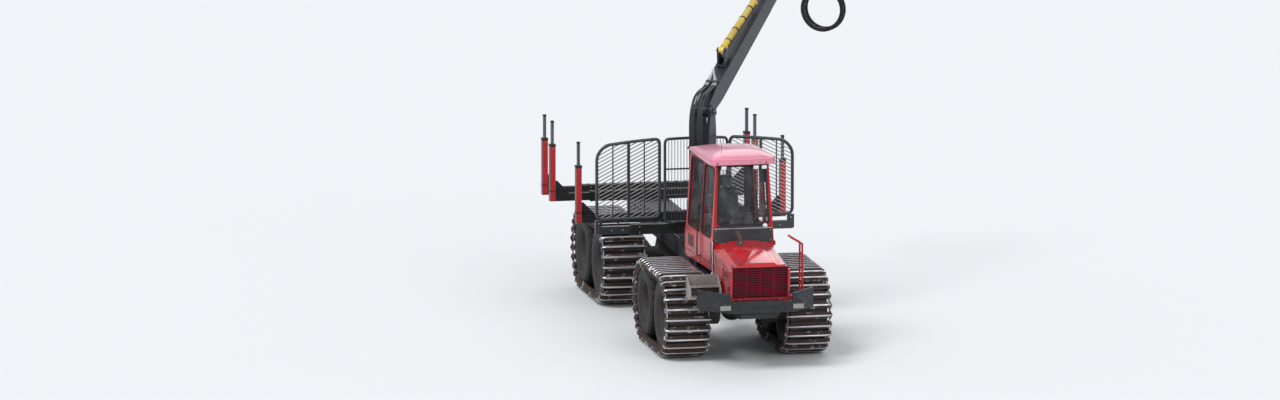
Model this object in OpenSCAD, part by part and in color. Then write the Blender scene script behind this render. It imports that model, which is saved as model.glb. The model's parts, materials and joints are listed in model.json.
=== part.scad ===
// Forestry forwarder: an articulated eight-wheel timber carrier with band tracks and a loading crane.
// +X points forward, +Y to the machine's left, +Z up. The origin is on the ground under the steering pin.

/* [Running gear] */
// Distance between the two wheels of a bogie
wheel_base = 1500; // [1300:10:1600]
// Radius of a tyre
tyre_r = 660; // [600:5:680]
// Width of a tyre
tyre_w = 700; // [600:10:740]
// Radius of the wheel rim
rim_r = 336; // [300:2:360]
// Middle of a track, measured from the machine's centre line
track_y = 1065; // [1040:5:1120]
// Width of a track
track_w = 820; // [760:10:840]
// Thickness of a track plate
plate_t = 30; // [24:1:36]
// Height of a cross lug above its plate
lug_h = 52; // [30:1:60]
// Width of a cross lug at its root
lug_root_w = 74; // [60:1:90]
// Width of a cross lug at its tip
lug_tip_w = 34; // [20:1:50]
// Number of shoes in one track
shoe_count = 41; // [36:1:44]
// Middle of the front bogie, ahead of the steering pin
front_axle_x = 1900; // [1850:10:2000]
// Middle of the rear bogie, behind the steering pin
rear_axle_x = -3600; // [-3800:10:-3500]
// Width of a bogie gear case
bogie_w = 210; // [180:5:230]
// Half height of a bogie gear case at its wheels
bogie_end_r = 190; // [160:5:220]

/* [Frames] */
// Outer width of the front frame
front_frame_w = 660; // [600:10:700]
// Underside of the front frame
front_frame_z = 870; // [860:5:890]
// Height of the front frame
front_frame_h = 350; // [300:10:380]
// Front end of the front frame
front_frame_end = 4350; // [4330:5:4370]
// Thickness of a frame side plate
frame_plate_t = 25; // [20:1:40]
// Radius of the steering pin
steer_pin_r = 60; // [50:1:70]
// Height of the roll axis
roll_z = 1045; // [1035:5:1055]
// Radius of the roll tube
roll_tube_r = 100; // [85:1:100]
// Outer width of the rear frame
rear_frame_w = 520; // [480:10:560]
// Underside of the rear frame beam
rear_beam_z = 1060; // [1040:10:1100]
// Height of the rear frame beam
rear_beam_h = 440; // [430:5:460]
// Rear end of the rear frame
rear_end_x = -5950; // [-6100:10:-5900]

/* [Cab] */
// Back of the cab
cab_back_x = 1060; // [1000:10:1150]
// Front of the cab
cab_front_x = 2850; // [2800:10:2900]
// Outer width of the cab at its front
cab_front_w = 1080; // [1040:10:1120]
// Outer width of the cab at its back
cab_back_w = 1270; // [1220:10:1300]
// Outer width of the cab's front at its roof
cab_top_w = 920; // [900:10:960]
// Underside of the cab
cab_floor_z = 1500; // [1480:5:1540]
// Sill of the side windows
cab_sill_z = 2030; // [1980:10:2080]
// Top of the cab walls
cab_top_z = 3350; // [3300:10:3420]
// Thickness of a cab wall
cab_wall = 50; // [40:1:60]
// Thickness of a window pane
pane_t = 10; // [8:1:12]
// Height of the roof shell
roof_h = 230; // [210:5:260]
// Width of the roof shell
roof_w = 1174; // [1150:2:1200]
// Overhang of the roof in front of the windscreen and behind the cab
roof_over = 70; // [50:5:90]
// Middle post of the cab side
cab_post_x = 2030; // [1980:10:2080]

/* [Hood] */
// Width of the hood
hood_w = 1050; // [1020:10:1060]
// Top of the hood at the cab
hood_top_z = 2000; // [1970:10:2040]
// Top of the hood at the grille
hood_nose_z = 1840; // [1780:10:1900]
// Underside of the hood
hood_low_z = 1230; // [1230:5:1260]
// Front face of the hood
hood_front_x = 4300; // [4250:10:4350]
// Thickness of the hood shell
hood_t = 22; // [18:1:30]
// Length of the engine block
engine_l = 1050; // [900:10:1100]
// Width of the engine block
engine_w = 600; // [500:10:640]
// Height of the engine block
engine_h = 580; // [500:10:590]
// Height of the bumper's wings
bumper_h = 330; // [280:10:360]
// Half width of the bumper
bumper_half_w = 1010; // [980:10:1060]

/* [Load space] */
// Middle of the stakes, measured from the machine's centre line
stake_y = 1830; // [1780:10:1860]
// Width of a stake along the machine
stake_w = 120; // [100:5:130]
// Depth of a stake across the machine
stake_d = 100; // [90:5:110]
// Height of a bolster beam
bolster_h = 170; // [150:5:190]
// Height of the lower part of a stake above its bolster
stake_h = 860; // [800:10:900]
// Height of the stake's extension
stake_top_h = 400; // [300:10:450]
// Place of the headboard behind the steering pin
headboard_x = -1180; // [-1200:10:-1150]
// Half width of the headboard
headboard_half_w = 1775; // [1740:5:1800]
// Underside of the headboard
headboard_low_z = 1740; // [1700:10:1780]
// Top of the headboard at its sides
headboard_top_z = 3080; // [3000:10:3150]
// Rise of the headboard's top bar at its middle
headboard_rise = 130; // [80:5:160]
// Diameter of the headboard's outer tubes
headboard_tube = 76; // [60:2:90]
// Distance between two slanted bars of the headboard
slat_pitch = 66; // [60:1:90]
// Slope of the slanted bars
slat_angle = 27; // [20:1:35]

/* [Crane] */
// Place of the crane behind the steering pin
crane_x = -560; // [-580:5:-540]
// Height of the boom pivot
pivot_z = 3750; // [3700:10:3800]
// Underside of the turning pillar
slew_z = 2120; // [2080:10:2160]
// Width of the pillar
pillar_w = 380; // [360:5:400]
// Direction of the boom, turned from the machine's front
boom_heading = 148; // [140:1:160]
// Rise of the inner boom above the horizontal
boom_rise = 25.5; // [20:0.5:30]
// Length of the inner boom from pivot to knuckle
boom_len = 3900; // [3800:10:4000]
// Height of the inner boom's box
boom_h = 360; // [320:5:380]
// Width of the inner boom's box
boom_w = 250; // [230:5:260]
// Thickness of the inner boom's plates
boom_plate_t = 15; // [10:1:25]
// Rise of the outer boom above the horizontal
jib_rise = 9.5; // [5:0.5:15]
// Length of the outer boom from knuckle to mouth
jib_len = 2300; // [2200:10:2400]
// Height of the outer boom's box
jib_h = 240; // [220:5:260]
// Width of the outer boom's box
jib_w = 190; // [180:5:200]
// Distance from the outer boom's mouth to the tip pin
tip_out = 400; // [350:10:450]
// Diameter of the lift cylinder's barrel
lift_barrel_d = 160; // [140:5:180]
// Diameter of the jib cylinder's barrel
jib_barrel_d = 120; // [100:5:130]
// Radius of the boom pins
boom_pin_r = 40; // [30:1:45]

/* [Grapple] */
// Length of the hanging link
link_len = 280; // [260:10:300]
// Height of the rotator
rotator_h = 280; // [260:10:300]
// Half distance between the jaw pins
jaw_pin_y = 200; // [190:5:210]
// Radius of a jaw's inner curve
jaw_r = 330; // [300:5:360]
// Width of a jaw
jaw_w = 340; // [280:10:380]

/* [Hidden] */
$fn = 48;
eps = 0.3;
red = "firebrick";
dark = "dimgray";
steel = "silver";
black = "black";

// Shared running gear values
track_in_r = tyre_r + eps;
base_r = track_in_r + plate_t;
loop_r = base_r + lug_h;
axle_z = loop_r;
arc_len = PI * base_r;
loop_len = 2 * wheel_base + 2 * arc_len;
shoe_pitch = loop_len / shoe_count;
track_in_y = track_y - track_w / 2;
bogie_y = front_frame_w / 2 + 80;
bead_half_w = tyre_w * 0.42;
tread_half_w = tyre_w * 0.37;
disc_in_y = 150;
hub_r = 150;
hub_cap_r = 160;

// Boxes, plates and struts
module span_box(x, y, z) {
  translate([x[0], y[0], z[0]])
    cube([x[1] - x[0], y[1] - y[0], z[1] - z[0]]);
}

// Extrudes an outline drawn in the XZ plane from y_low to y_high
module side_plate(y_low, y_high) {
  translate([0, y_high, 0])
    rotate([90, 0, 0])
      linear_extrude(y_high - y_low)
        children();
}

// Extrudes an outline drawn in the YZ plane from x_low to x_high
module cross_plate(x_low, x_high) {
  translate([x_low, 0, 0])
    rotate([90, 0, 90])
      linear_extrude(x_high - x_low)
        children();
}

module strut(from, to, d) {
  v = to - from;
  translate(from)
    rotate([0, acos(v.z / norm(v)), atan2(v.y, v.x)])
      cylinder(h = norm(v), d = d);
}

module y_cylinder(r, y_low, y_high) {
  translate([0, y_low, 0])
    rotate([-90, 0, 0])
      cylinder(h = y_high - y_low, r = r);
}

module both_sides() {
  children();
  mirror([0, 1, 0])
    children();
}

// A point of the track loop, at a distance along its path and a radius from its wheel centres
function loop_at(s, r) =
  s < wheel_base ? [s - wheel_base / 2, -r]
  : s < wheel_base + arc_len
    ? let (a = -90 + (s - wheel_base) / base_r * 180 / PI) [wheel_base / 2 + r * cos(a), r * sin(a)]
  : s < 2 * wheel_base + arc_len ? [wheel_base / 2 - (s - wheel_base - arc_len), r]
  : let (a = 90 + (s - 2 * wheel_base - arc_len) / base_r * 180 / PI)
    [-wheel_base / 2 + r * cos(a), r * sin(a)];

// Columns: distance from the shoe's middle, height above the plate
shoe_profile = [
  [-lug_root_w / 2, 0],
  [-lug_tip_w / 2, lug_h],
  [lug_tip_w / 2, lug_h],
  [lug_root_w / 2, 0]
];

module track_loop() {
  side_plate(-track_w / 2, track_w / 2)
    difference() {
      polygon([
        for (i = [0 : shoe_count - 1], p = shoe_profile)
          loop_at((i + 0.5) * shoe_pitch + p[0], base_r + p[1])
      ]);
      for (x = [-1, 1] * wheel_base / 2)
        translate([x, 0])
          circle(track_in_r);
      square([wheel_base, 2 * track_in_r], center = true);
    }
}

module tyre() {
  rotate([90, 0, 0])
    rotate_extrude($fn = 32)
      polygon([
        [rim_r, -bead_half_w],
        [tyre_r * 0.84, -tyre_w / 2],
        [tyre_r, -tread_half_w],
        [tyre_r, tread_half_w],
        [tyre_r * 0.84, tyre_w / 2],
        [rim_r, bead_half_w]
      ]);
}

// A rim with its disc set deep inside, seen from the outer side at +Y
module wheel() {
  rim_in_r = rim_r - 26;
  rotate([-90, 0, 0])
    rotate_extrude()
      polygon([
        [0, -disc_in_y],
        [rim_in_r - 40, -disc_in_y],
        [rim_in_r - 30, -bead_half_w],
        [rim_r - eps, -bead_half_w],
        [rim_r - eps, bead_half_w],
        [rim_in_r, bead_half_w],
        [rim_in_r - 12, -disc_in_y + 40],
        [hub_cap_r + 10, -disc_in_y + 50],
        [hub_cap_r, 60],
        [hub_cap_r - 40, 90],
        [0, 90]
      ]);
}

module at_wheels(axle_x) {
  both_sides()
    for (x = [-1, 1] * wheel_base / 2)
      translate([axle_x + x, track_y, axle_z])
        children();
}

// A bogie gear case, its end hubs and the axle that joins both sides
module bogie_pair(axle_x, seat_z) {
  axle_r = 120;
  case_in = bogie_y;
  case_out = bogie_y + bogie_w;
  hub_out = track_y - disc_in_y - eps;
  translate([axle_x, 0, axle_z])
    union() {
      both_sides() {
        side_plate(case_in, case_out)
          union() {
            polygon([
              [-wheel_base / 2, -bogie_end_r],
              [wheel_base / 2, -bogie_end_r],
              [wheel_base / 2, bogie_end_r],
              [bogie_end_r, bogie_end_r * 1.35],
              [-bogie_end_r, bogie_end_r * 1.35],
              [-wheel_base / 2, bogie_end_r]
            ]);
            for (x = [-1, 1] * wheel_base / 2)
              translate([x, 0])
                circle(bogie_end_r);
          }
        for (x = [-1, 1] * wheel_base / 2)
          translate([x, 0, 0])
            y_cylinder(hub_r, case_out - 1, hub_out);
      }
      y_cylinder(axle_r, -case_in - 1, case_in + 1);
      translate([0, 0, -75])
        sphere(195);
      cross_plate(-160, 160)
        polygon([
          [-220, 0],
          [220, 0],
          [160, seat_z - axle_z],
          [-160, seat_z - axle_z]
        ]);
    }
}

module front_bogies() {
  color(dark)
    bogie_pair(front_axle_x, front_frame_z);
}

module rear_bogies() {
  color(dark)
    bogie_pair(rear_axle_x, rear_beam_z);
}

module front_wheels() {
  color(black)
    at_wheels(front_axle_x)
      wheel();
}

module rear_wheels() {
  color(black)
    at_wheels(rear_axle_x)
      wheel();
}

module front_tyres() {
  color(black)
    at_wheels(front_axle_x)
      tyre();
}

module rear_tyres() {
  color(black)
    at_wheels(rear_axle_x)
      tyre();
}

module front_tracks() {
  color(steel)
    both_sides()
      translate([front_axle_x, track_y, axle_z])
        track_loop();
}

module rear_tracks() {
  color(steel)
    both_sides()
      translate([rear_axle_x, track_y, axle_z])
        track_loop();
}

// Front frame: a box beam with two steering ears at its back and the carriers of the cab and tanks
front_frame_top = front_frame_z + front_frame_h;
ear_t = 60;
ear_r = 110;
ear_root_x = 440;
frame_half_w = front_frame_w / 2;
tank_l = 1000;
tank_h = 360;

module front_frame_outline(inset) {
  polygon([
    [ear_root_x - 20 + inset, front_frame_z + inset],
    [front_frame_end - 260, front_frame_z + inset],
    [front_frame_end - inset, front_frame_z + 110 + inset],
    [front_frame_end - inset, front_frame_top - inset],
    [ear_root_x - 20 + inset, front_frame_top - inset]
  ]);
}

module steering_ear(z_low) {
  translate([0, 0, z_low])
    linear_extrude(ear_t)
      difference() {
        union() {
          polygon([
            [ear_root_x, -frame_half_w + 30],
            [ear_root_x, frame_half_w - 30],
            [20, ear_r],
            [0, ear_r],
            [0, -ear_r],
            [20, -ear_r]
          ]);
          circle(ear_r);
        }
        circle(steer_pin_r + 0.05);
      }
}

module front_frame() {
  beam_depth = cab_floor_z - front_frame_top;
  color(dark)
    union() {
      difference() {
        side_plate(-frame_half_w, frame_half_w)
          front_frame_outline(0);
        side_plate(-frame_half_w + frame_plate_t, frame_half_w - frame_plate_t)
          front_frame_outline(frame_plate_t);
      }
      steering_ear(front_frame_z);
      steering_ear(front_frame_top - ear_t);
      for (x = [cab_back_x + 90, cab_front_x - 290])
        translate([x, 0, 0])
          cross_plate(0, 150)
            polygon([
              [-frame_half_w, front_frame_top - 1],
              [frame_half_w, front_frame_top - 1],
              [cab_front_w / 2 - 40, cab_floor_z - beam_depth / 2],
              [cab_front_w / 2 - 40, cab_floor_z],
              [-cab_front_w / 2 + 40, cab_floor_z],
              [-cab_front_w / 2 + 40, cab_floor_z - beam_depth / 2]
            ]);
      // Hood hinge brackets on the beam's sides, and their pins
      plate_pair(hood_bracket_y, hood_bracket_y + hinge_plate_t)
        union() {
          translate([hood_hinge_x, hood_hinge_z])
            circle(hinge_eye_r);
          translate([hood_hinge_x - hinge_eye_r, hood_hinge_z - 120])
            square([2 * hinge_eye_r, 120]);
        }
      plate_pair(frame_half_w - 1, hood_bracket_y + 1)
        translate([hood_hinge_x - hinge_eye_r, hood_hinge_z - 120])
          square([2 * hinge_eye_r, 80]);
      both_sides()
        translate([hood_hinge_x, 0, hood_hinge_z])
          y_cylinder(hood_pin_r, frame_half_w + 6, hood_bracket_y + 1);
      // Side tanks under the cab
      both_sides()
        translate([(cab_back_x + cab_front_x - tank_l) / 2, frame_half_w - 1, front_frame_top - 200])
          cube([tank_l, track_in_y - frame_half_w - 40, tank_h]);
    }
}

// Centre joint: a barrel round the steering pin and the tube that the rear unit rolls on
centre_joint_gap = 6;
roll_collar_x = -150;
roll_tube_end = -560;

module centre_joint() {
  barrel_low = front_frame_z + ear_t + centre_joint_gap;
  barrel_high = front_frame_top - ear_t - centre_joint_gap;
  color(dark)
    union() {
      translate([0, 0, barrel_low])
        cylinder(h = barrel_high - barrel_low, r = ear_r + 10);
      translate([0, 0, front_frame_z - 25])
        cylinder(h = front_frame_h + 50, r = steer_pin_r);
      translate([roll_tube_end, 0, roll_z])
        rotate([0, 90, 0])
          cylinder(h = -roll_tube_end, r = roll_tube_r - 0.05);
    }
}

// Rear frame: ring housing, crane foot and the long beam under the load
rear_beam_top = rear_beam_z + rear_beam_h;
bolster_low_z = rear_beam_top;
foot_half_l = 300;
ring_front_x = -235;
ring_back_x = -520;
tow_pin_r = 26;
tow_eye_x = rear_end_x - 110;

module rear_frame_outline(inset) {
  polygon([
    [rear_end_x + inset, rear_beam_z + 120 + inset],
    [rear_end_x + 500, rear_beam_z + inset],
    [crane_x - foot_half_l - 300, rear_beam_z + inset],
    [crane_x - foot_half_l, roll_z - roll_tube_r - 70 + inset],
    [ring_back_x - inset, roll_z - roll_tube_r - 70 + inset],
    [ring_back_x - inset, rear_beam_top - inset],
    [rear_end_x + inset, rear_beam_top - inset]
  ]);
}

module rear_frame() {
  half_w = rear_frame_w / 2;
  color(dark)
    union() {
      difference() {
        union() {
          side_plate(-half_w, half_w)
            rear_frame_outline(0);
          translate([ring_back_x - 1, 0, roll_z])
            rotate([0, 90, 0])
              cylinder(h = ring_front_x - ring_back_x + 1, r = roll_tube_r + 70);
        }
        side_plate(-half_w + frame_plate_t, half_w - frame_plate_t)
          rear_frame_outline(frame_plate_t);
        translate([roll_tube_end - 60, 0, roll_z])
          rotate([0, 90, 0])
            cylinder(h = ring_front_x - roll_tube_end + 100, r = roll_tube_r);
      }
      // Tow eye
      difference() {
        union() {
          translate([rear_end_x - 1, 0, rear_beam_z + 180])
            rotate([0, 0, 180])
              translate([-2, -90, 0])
                cube([111, 180, 50]);
          translate([tow_eye_x, 0, rear_beam_z + 180])
            cylinder(h = 50, r = 90);
        }
        translate([tow_eye_x, 0, rear_beam_z + 179])
          cylinder(h = 52, r = tow_pin_r);
      }
      // Crane foot
      translate([crane_x, 0, rear_beam_top - 1])
        cylinder(h = 60, r = 300);
      translate([crane_x, 0, rear_beam_top - 1])
        cylinder(h = slew_z - rear_beam_top - 5, r = 230);
      translate([crane_x, 0, slew_z - 66])
        cylinder(h = 66 - eps, r = 275);
    }
}

// Cab: hollow shell, narrower towards its front and above its sill, split at its door, roof and windows
cab_taper = atan((cab_back_w - cab_front_w) / 2 / (cab_front_x - cab_back_x));
cab_lean_y = (cab_front_w - cab_top_w) / 2;
screen_low_z = 2310;
screen_low_half_w = cab_front_w / 2 - 100;
screen_top_half_w = cab_top_w / 2 - 60;
screen_frame_h = 40;
window_sill_h = 40;
window_head_h = 90;
window_back_l = 120;
side_in_y = 300;
side_out_y = 700;
rear_window_half_w = 400;
rear_window_sill_h = 270;
door_window_drop = 150;
cowl_l = 200;
cowl_top_z = cab_sill_z + 80;
cowl_half_w = cab_back_w / 2 - 20;
door_gap = 7;
door_low_z = cab_floor_z + 70;
door_high_z = cab_top_z - 60;
door_front_x = cab_front_x - 140;
door_swing_gap = 20;
door_hinge_x = door_front_x + 65;
door_wall_y = cab_half_w(door_hinge_x);
door_hinge_y = door_wall_y + 25;
door_hinge_zs = [1640, 1960];
post_half = 45;

// Half width of the cab below its sill at a place along it
function cab_half_w(x) = cab_front_w / 2 + (cab_front_x - x) * tan(cab_taper);

// All that lies inside the left wall, which leans in above the sill and widens towards the back
module inside_left_wall(inset) {
  translate([cab_front_x, cab_front_w / 2, 0])
    rotate([0, 0, -cab_taper])
      cross_plate(cab_back_x - cab_front_x - 100, 100)
        polygon([
          [-cab_back_w, cab_floor_z + inset],
          [-inset, cab_floor_z + inset],
          [-inset, cab_sill_z],
          [-cab_lean_y - inset, cab_top_z + 10],
          [-cab_back_w, cab_top_z + 10]
        ]);
}

module cab_side(inset) {
  side_plate(-cab_back_w / 2 - 10, cab_back_w / 2 + 10)
    polygon([
      [cab_back_x + inset, cab_floor_z + inset],
      [cab_front_x - inset, cab_floor_z + inset],
      [cab_front_x - inset, screen_low_z],
      [cab_front_x - 70 - inset, cab_top_z + (inset > 0 ? 20 : 0)],
      [cab_back_x + inset, cab_top_z + (inset > 0 ? 20 : 0)]
    ]);
}

module cab_body(inset) {
  intersection() {
    inside_left_wall(inset);
    mirror([0, 1, 0])
      inside_left_wall(inset);
    cab_side(inset);
  }
}

// The wall layer between two depths below the outer surface
module cab_layer(outer, inner) {
  difference() {
    cab_body(outer);
    cab_body(inner);
  }
}

module screen_cut(gap) {
  cross_plate(cab_front_x - 200, cab_front_x + 20)
    polygon([
      [-screen_low_half_w + gap, screen_low_z + gap],
      [screen_low_half_w - gap, screen_low_z + gap],
      [screen_top_half_w - gap, cab_top_z - screen_frame_h - gap],
      [-screen_top_half_w + gap, cab_top_z - screen_frame_h - gap]
    ]);
}

// The window behind the middle post, on the left side
module back_window_cut(gap) {
  span_box(
    [cab_back_x + window_back_l + gap, cab_post_x - post_half - gap],
    [side_in_y, side_out_y],
    [cab_sill_z + window_sill_h + gap, cab_top_z - window_head_h - gap]
  );
}

// Both windows of the right side
module right_window_cuts(gap) {
  mirror([0, 1, 0]) {
    back_window_cut(gap);
    span_box(
      [cab_post_x + post_half + gap, door_front_x - gap],
      [side_in_y, side_out_y],
      [cab_sill_z + window_sill_h + gap, cab_top_z - window_head_h - gap]
    );
  }
}

module rear_window_cut(gap) {
  span_box(
    [cab_back_x - 20, cab_back_x + 80],
    [-rear_window_half_w + gap, rear_window_half_w - gap],
    [cab_sill_z + rear_window_sill_h + gap, cab_top_z - window_head_h - gap]
  );
}

module door_cut(gap) {
  back_gap = gap > 0 ? door_swing_gap : 0;
  span_box(
    [cab_post_x + back_gap, door_front_x + 50 - gap],
    [side_in_y, side_out_y],
    [door_low_z + gap, door_high_z - gap]
  );
}

// Hinge pins, each on a lug of the front post
module door_hinge_pins() {
  for (z = door_hinge_zs) {
    span_box([door_hinge_x - 14, door_hinge_x + 30], [door_wall_y - 10, door_hinge_y + 14], [z - 40, z - 20]);
    translate([door_hinge_x, door_hinge_y, z - 21])
      cylinder(h = 61, r = 9);
  }
}

// Hinge straps of the door, each with a bore that turns on its pin
module door_hinge_straps() {
  strap_h = 50;
  for (z = door_hinge_zs)
    difference() {
      translate([door_hinge_x, 0, z - 20 + eps])
        union() {
          translate([0, door_hinge_y, 0])
            cylinder(h = strap_h, r = 20);
          span_box([-120, 0], [door_hinge_y - 12, door_hinge_y + 12], [0, strap_h]);
          span_box([-120, -30], [door_wall_y - 10, door_hinge_y], [0, strap_h]);
        }
      translate([door_hinge_x, door_hinge_y, z - 40])
        cylinder(h = 100, r = 9.05);
    }
}

// A cover behind the lower cab, with a sloping top
module rear_cowl() {
  side_plate(-cowl_half_w, cowl_half_w)
    polygon([
      [cab_back_x - cowl_l, cab_floor_z],
      [cab_back_x + 1, cab_floor_z],
      [cab_back_x + 1, cowl_top_z],
      [cab_back_x - cowl_l, cowl_top_z - 160]
    ]);
}

module cab_shell() {
  color(red)
    union() {
      rear_cowl();
      difference() {
        cab_layer(0, cab_wall);
        screen_cut(0);
        right_window_cuts(0);
        back_window_cut(0);
        rear_window_cut(0);
        door_cut(0);
      }
      door_hinge_pins();
    }
}

module cab_windows() {
  depth = (cab_wall - pane_t) / 2;
  color("lightblue", 0.5)
    intersection() {
      cab_layer(depth, depth + pane_t);
      union() {
        screen_cut(eps);
        right_window_cuts(eps);
        back_window_cut(eps);
        rear_window_cut(eps);
      }
    }
}

module door_window_cut(gap) {
  span_box(
    [cab_post_x + 75 + gap, door_front_x - 25 - gap],
    [side_in_y, side_out_y],
    [cab_sill_z - door_window_drop + gap, cab_top_z - 130 - gap]
  );
}

module cab_door() {
  color(red)
    union() {
      difference() {
        intersection() {
          cab_layer(0, cab_wall);
          door_cut(door_gap);
        }
        door_window_cut(0);
      }
      door_hinge_straps();
    }
}

module door_window() {
  depth = (cab_wall - pane_t) / 2;
  color("lightblue", 0.5)
    intersection() {
      cab_layer(depth, depth + pane_t);
      door_window_cut(eps);
    }
}

module roof_slab(grow, z_low, z_high, corner) {
  x_low = cab_back_x - grow;
  x_high = cab_front_x - 40 + grow;
  half_w = roof_w / 2 - roof_over + grow;
  translate([0, 0, z_low])
    linear_extrude(z_high - z_low)
      hull()
        for (x = [x_low + corner, x_high - corner], y = [-1, 1] * (half_w - corner))
          translate([x, y])
            circle(corner, $fn = 32);
}

// Work lamps under the roof's edges: place along the cab, distance from the centre line
lamp_front_x = cab_front_x + 5;
lamp_back_x = cab_back_x - 40;
work_lamps = [
  [lamp_front_x, -345],
  [lamp_front_x, 223],
  [lamp_front_x, 367],
  [lamp_back_x, -345],
  [lamp_back_x, 345]
];
work_lamp_w = 100;
work_lamp_h = 84;
work_lamp_t = 44;

module work_lamp() {
  translate([-work_lamp_t / 2, -work_lamp_w / 2, -work_lamp_h])
    cube([work_lamp_t, work_lamp_w, work_lamp_h - 10]);
  translate([-10, -12, -20])
    cube([20, 24, 21]);
}

module cab_roof() {
  color("salmon")
    union() {
      for (p = work_lamps)
        translate([p[0], p[1], cab_top_z])
          work_lamp();
      roof_slab(roof_over, cab_top_z, cab_top_z + 70, 120);
      hull() {
        roof_slab(roof_over, cab_top_z + 69, cab_top_z + 110, 120);
        roof_slab(roof_over - 90, cab_top_z + 110, cab_top_z + roof_h - 70, 160);
        roof_slab(-220, cab_top_z + 110, cab_top_z + roof_h, 160);
      }
    }
}

// What stands in the cab rests a hair above its inner floor
floor_z = cab_floor_z + cab_wall + eps;
seat_back = 590;
seat_x = cab_back_x + seat_back;
seat_half_w = 250;
seat_stem_h = 400;
seat_cushion_t = 140;
backrest_h = 680;
headrest_h = 220;
console_x = seat_x - 150;

module driver_seat() {
  cushion_z = floor_z + seat_stem_h - 20;
  backrest_z = cushion_z + seat_cushion_t - 20;
  color("darkslategray")
    union() {
      translate([seat_x, 0, floor_z])
        cylinder(h = seat_stem_h, r = 120);
      span_box(
        [seat_x - seat_half_w, seat_x + seat_half_w],
        [-seat_half_w, seat_half_w],
        [cushion_z, backrest_z + 20]
      );
      side_plate(-seat_half_w + 10, seat_half_w - 10)
        polygon([
          [seat_x - seat_half_w, backrest_z],
          [seat_x - seat_half_w + 120, backrest_z],
          [seat_x - seat_half_w, backrest_z + backrest_h],
          [seat_x - seat_half_w - 120, backrest_z + backrest_h]
        ]);
      side_plate(-140, 140)
        translate([seat_x - seat_half_w - 125, backrest_z + backrest_h - 10])
          square([100, headrest_h]);
    }
}

module cab_console() {
  color(black)
    union() {
      side_plate(-200, 200)
        polygon([
          [cab_front_x - cab_wall - 260, floor_z],
          [cab_front_x - cab_wall - eps, floor_z],
          [cab_front_x - cab_wall - eps, floor_z + 760],
          [cab_front_x - cab_wall - 120, floor_z + 820],
          [cab_front_x - cab_wall - 260, floor_z + 640]
        ]);
      both_sides()
        side_plate(300, 420)
          polygon([
            [console_x, floor_z],
            [console_x + 200, floor_z],
            [console_x + 200, floor_z + 560],
            [console_x + 550, floor_z + 620],
            [console_x + 550, floor_z + 700],
            [console_x, floor_z + 700]
          ]);
    }
}

// Hood: a sloping shell with chamfered shoulders, hinged at its lower front
hood_back_x = cab_front_x + 25;
hood_half_w = hood_w / 2;
hood_nose_l = 70;
hood_slope = atan((hood_top_z - hood_nose_z) / (hood_front_x - hood_nose_l - hood_back_x));
hood_lean = 30;
hood_hinge_x = hood_front_x - hood_lean + 5;
hood_hinge_z = hood_low_z;
hood_pin_r = 12;
hinge_eye_r = 22;
hinge_plate_t = 25;
hood_lug_y = frame_half_w + 10;
hood_lug_t = 22;
hood_bracket_y = hood_lug_y + hood_lug_t + 4;
grille_half_w = hood_half_w - 35;
grille_low_z = hood_low_z + 28;
grille_high_z = hood_nose_z - 35;
shoulder = 110;
crest_h = 28;
crest_half_w = 250;

module hood_body(inset) {
  open_end = inset > 0 ? 5 : 0;
  above = hood_nose_z + crest_h + 5;
  intersection() {
    side_plate(-hood_half_w + inset, hood_half_w - inset)
      polygon([
        [hood_back_x - open_end, hood_low_z - open_end],
        [hood_front_x - hood_lean - inset, hood_low_z - open_end],
        [hood_front_x - inset, hood_nose_z - 25],
        [hood_front_x - hood_nose_l - inset, above],
        [hood_back_x - open_end, above + hood_top_z - hood_nose_z + 20]
      ]);
    translate([hood_back_x, 0, hood_top_z])
      rotate([0, hood_slope, 0])
        cross_plate(-400, 1800)
          polygon([
            [-hood_half_w - 5, -1200],
            [hood_half_w + 5, -1200],
            [hood_half_w + 5, -shoulder - inset],
            [hood_half_w - shoulder, -inset],
            [crest_half_w + 50, -inset],
            [crest_half_w, crest_h - inset],
            [-crest_half_w, crest_h - inset],
            [-crest_half_w - 50, -inset],
            [-hood_half_w + shoulder, -inset],
            [-hood_half_w - 5, -shoulder - inset]
          ]);
  }
}

module hood() {
  color(red)
    difference() {
      union() {
        difference() {
          hood_body(0);
          hood_body(hood_t);
          span_box(
            [hood_front_x - 120, hood_front_x + 10],
            [-grille_half_w, grille_half_w],
            [grille_low_z, grille_high_z]
          );
        }
        plate_pair(hood_lug_y, hood_lug_y + hood_lug_t)
          translate([hood_hinge_x, hood_hinge_z])
            circle(hinge_eye_r);
      }
      // Room for the hinge brackets
      both_sides()
        span_box(
          [hood_hinge_x - hinge_eye_r - 15, hood_front_x + 10],
          [hood_lug_y + hood_lug_t + 1, hood_bracket_y + hinge_plate_t + 6],
          [hood_low_z - 30, hood_low_z + hinge_eye_r + 8]
        );
      both_sides()
        translate([hood_hinge_x, 0, hood_hinge_z])
          y_cylinder(hood_pin_r + 0.05, frame_half_w, hood_lug_y + hood_lug_t + 2);
    }
}

// Grille: slanted back like the hood's face, with rows of slots in four bays
grille_t = 16;
grille_slot_h = 22;
grille_rows = 13;
grille_bays = 4;

module grille() {
  lean = atan(hood_lean / (hood_nose_z - 25 - hood_low_z));
  high = grille_high_z - grille_low_z - 2 * eps - grille_t * sin(lean);
  bar_w = 16;
  bay = (2 * (grille_half_w - eps) - bar_w) / grille_bays;
  row = (high - bar_w) / grille_rows;
  face = hood_front_x - hood_lean + (grille_low_z - hood_low_z) * tan(lean);
  color("darkred")
    translate([face, 0, grille_low_z + eps])
      rotate([0, lean, 0])
        cross_plate(-grille_t - 4, -4)
          difference() {
            translate([-grille_half_w + eps, 0])
              square([2 * (grille_half_w - eps), high]);
            for (i = [0 : grille_bays - 1], j = [0 : grille_rows - 1])
              translate([-grille_half_w + eps + bar_w + i * bay, bar_w + j * row])
                square([bay - bar_w, grille_slot_h]);
          }
}

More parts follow.
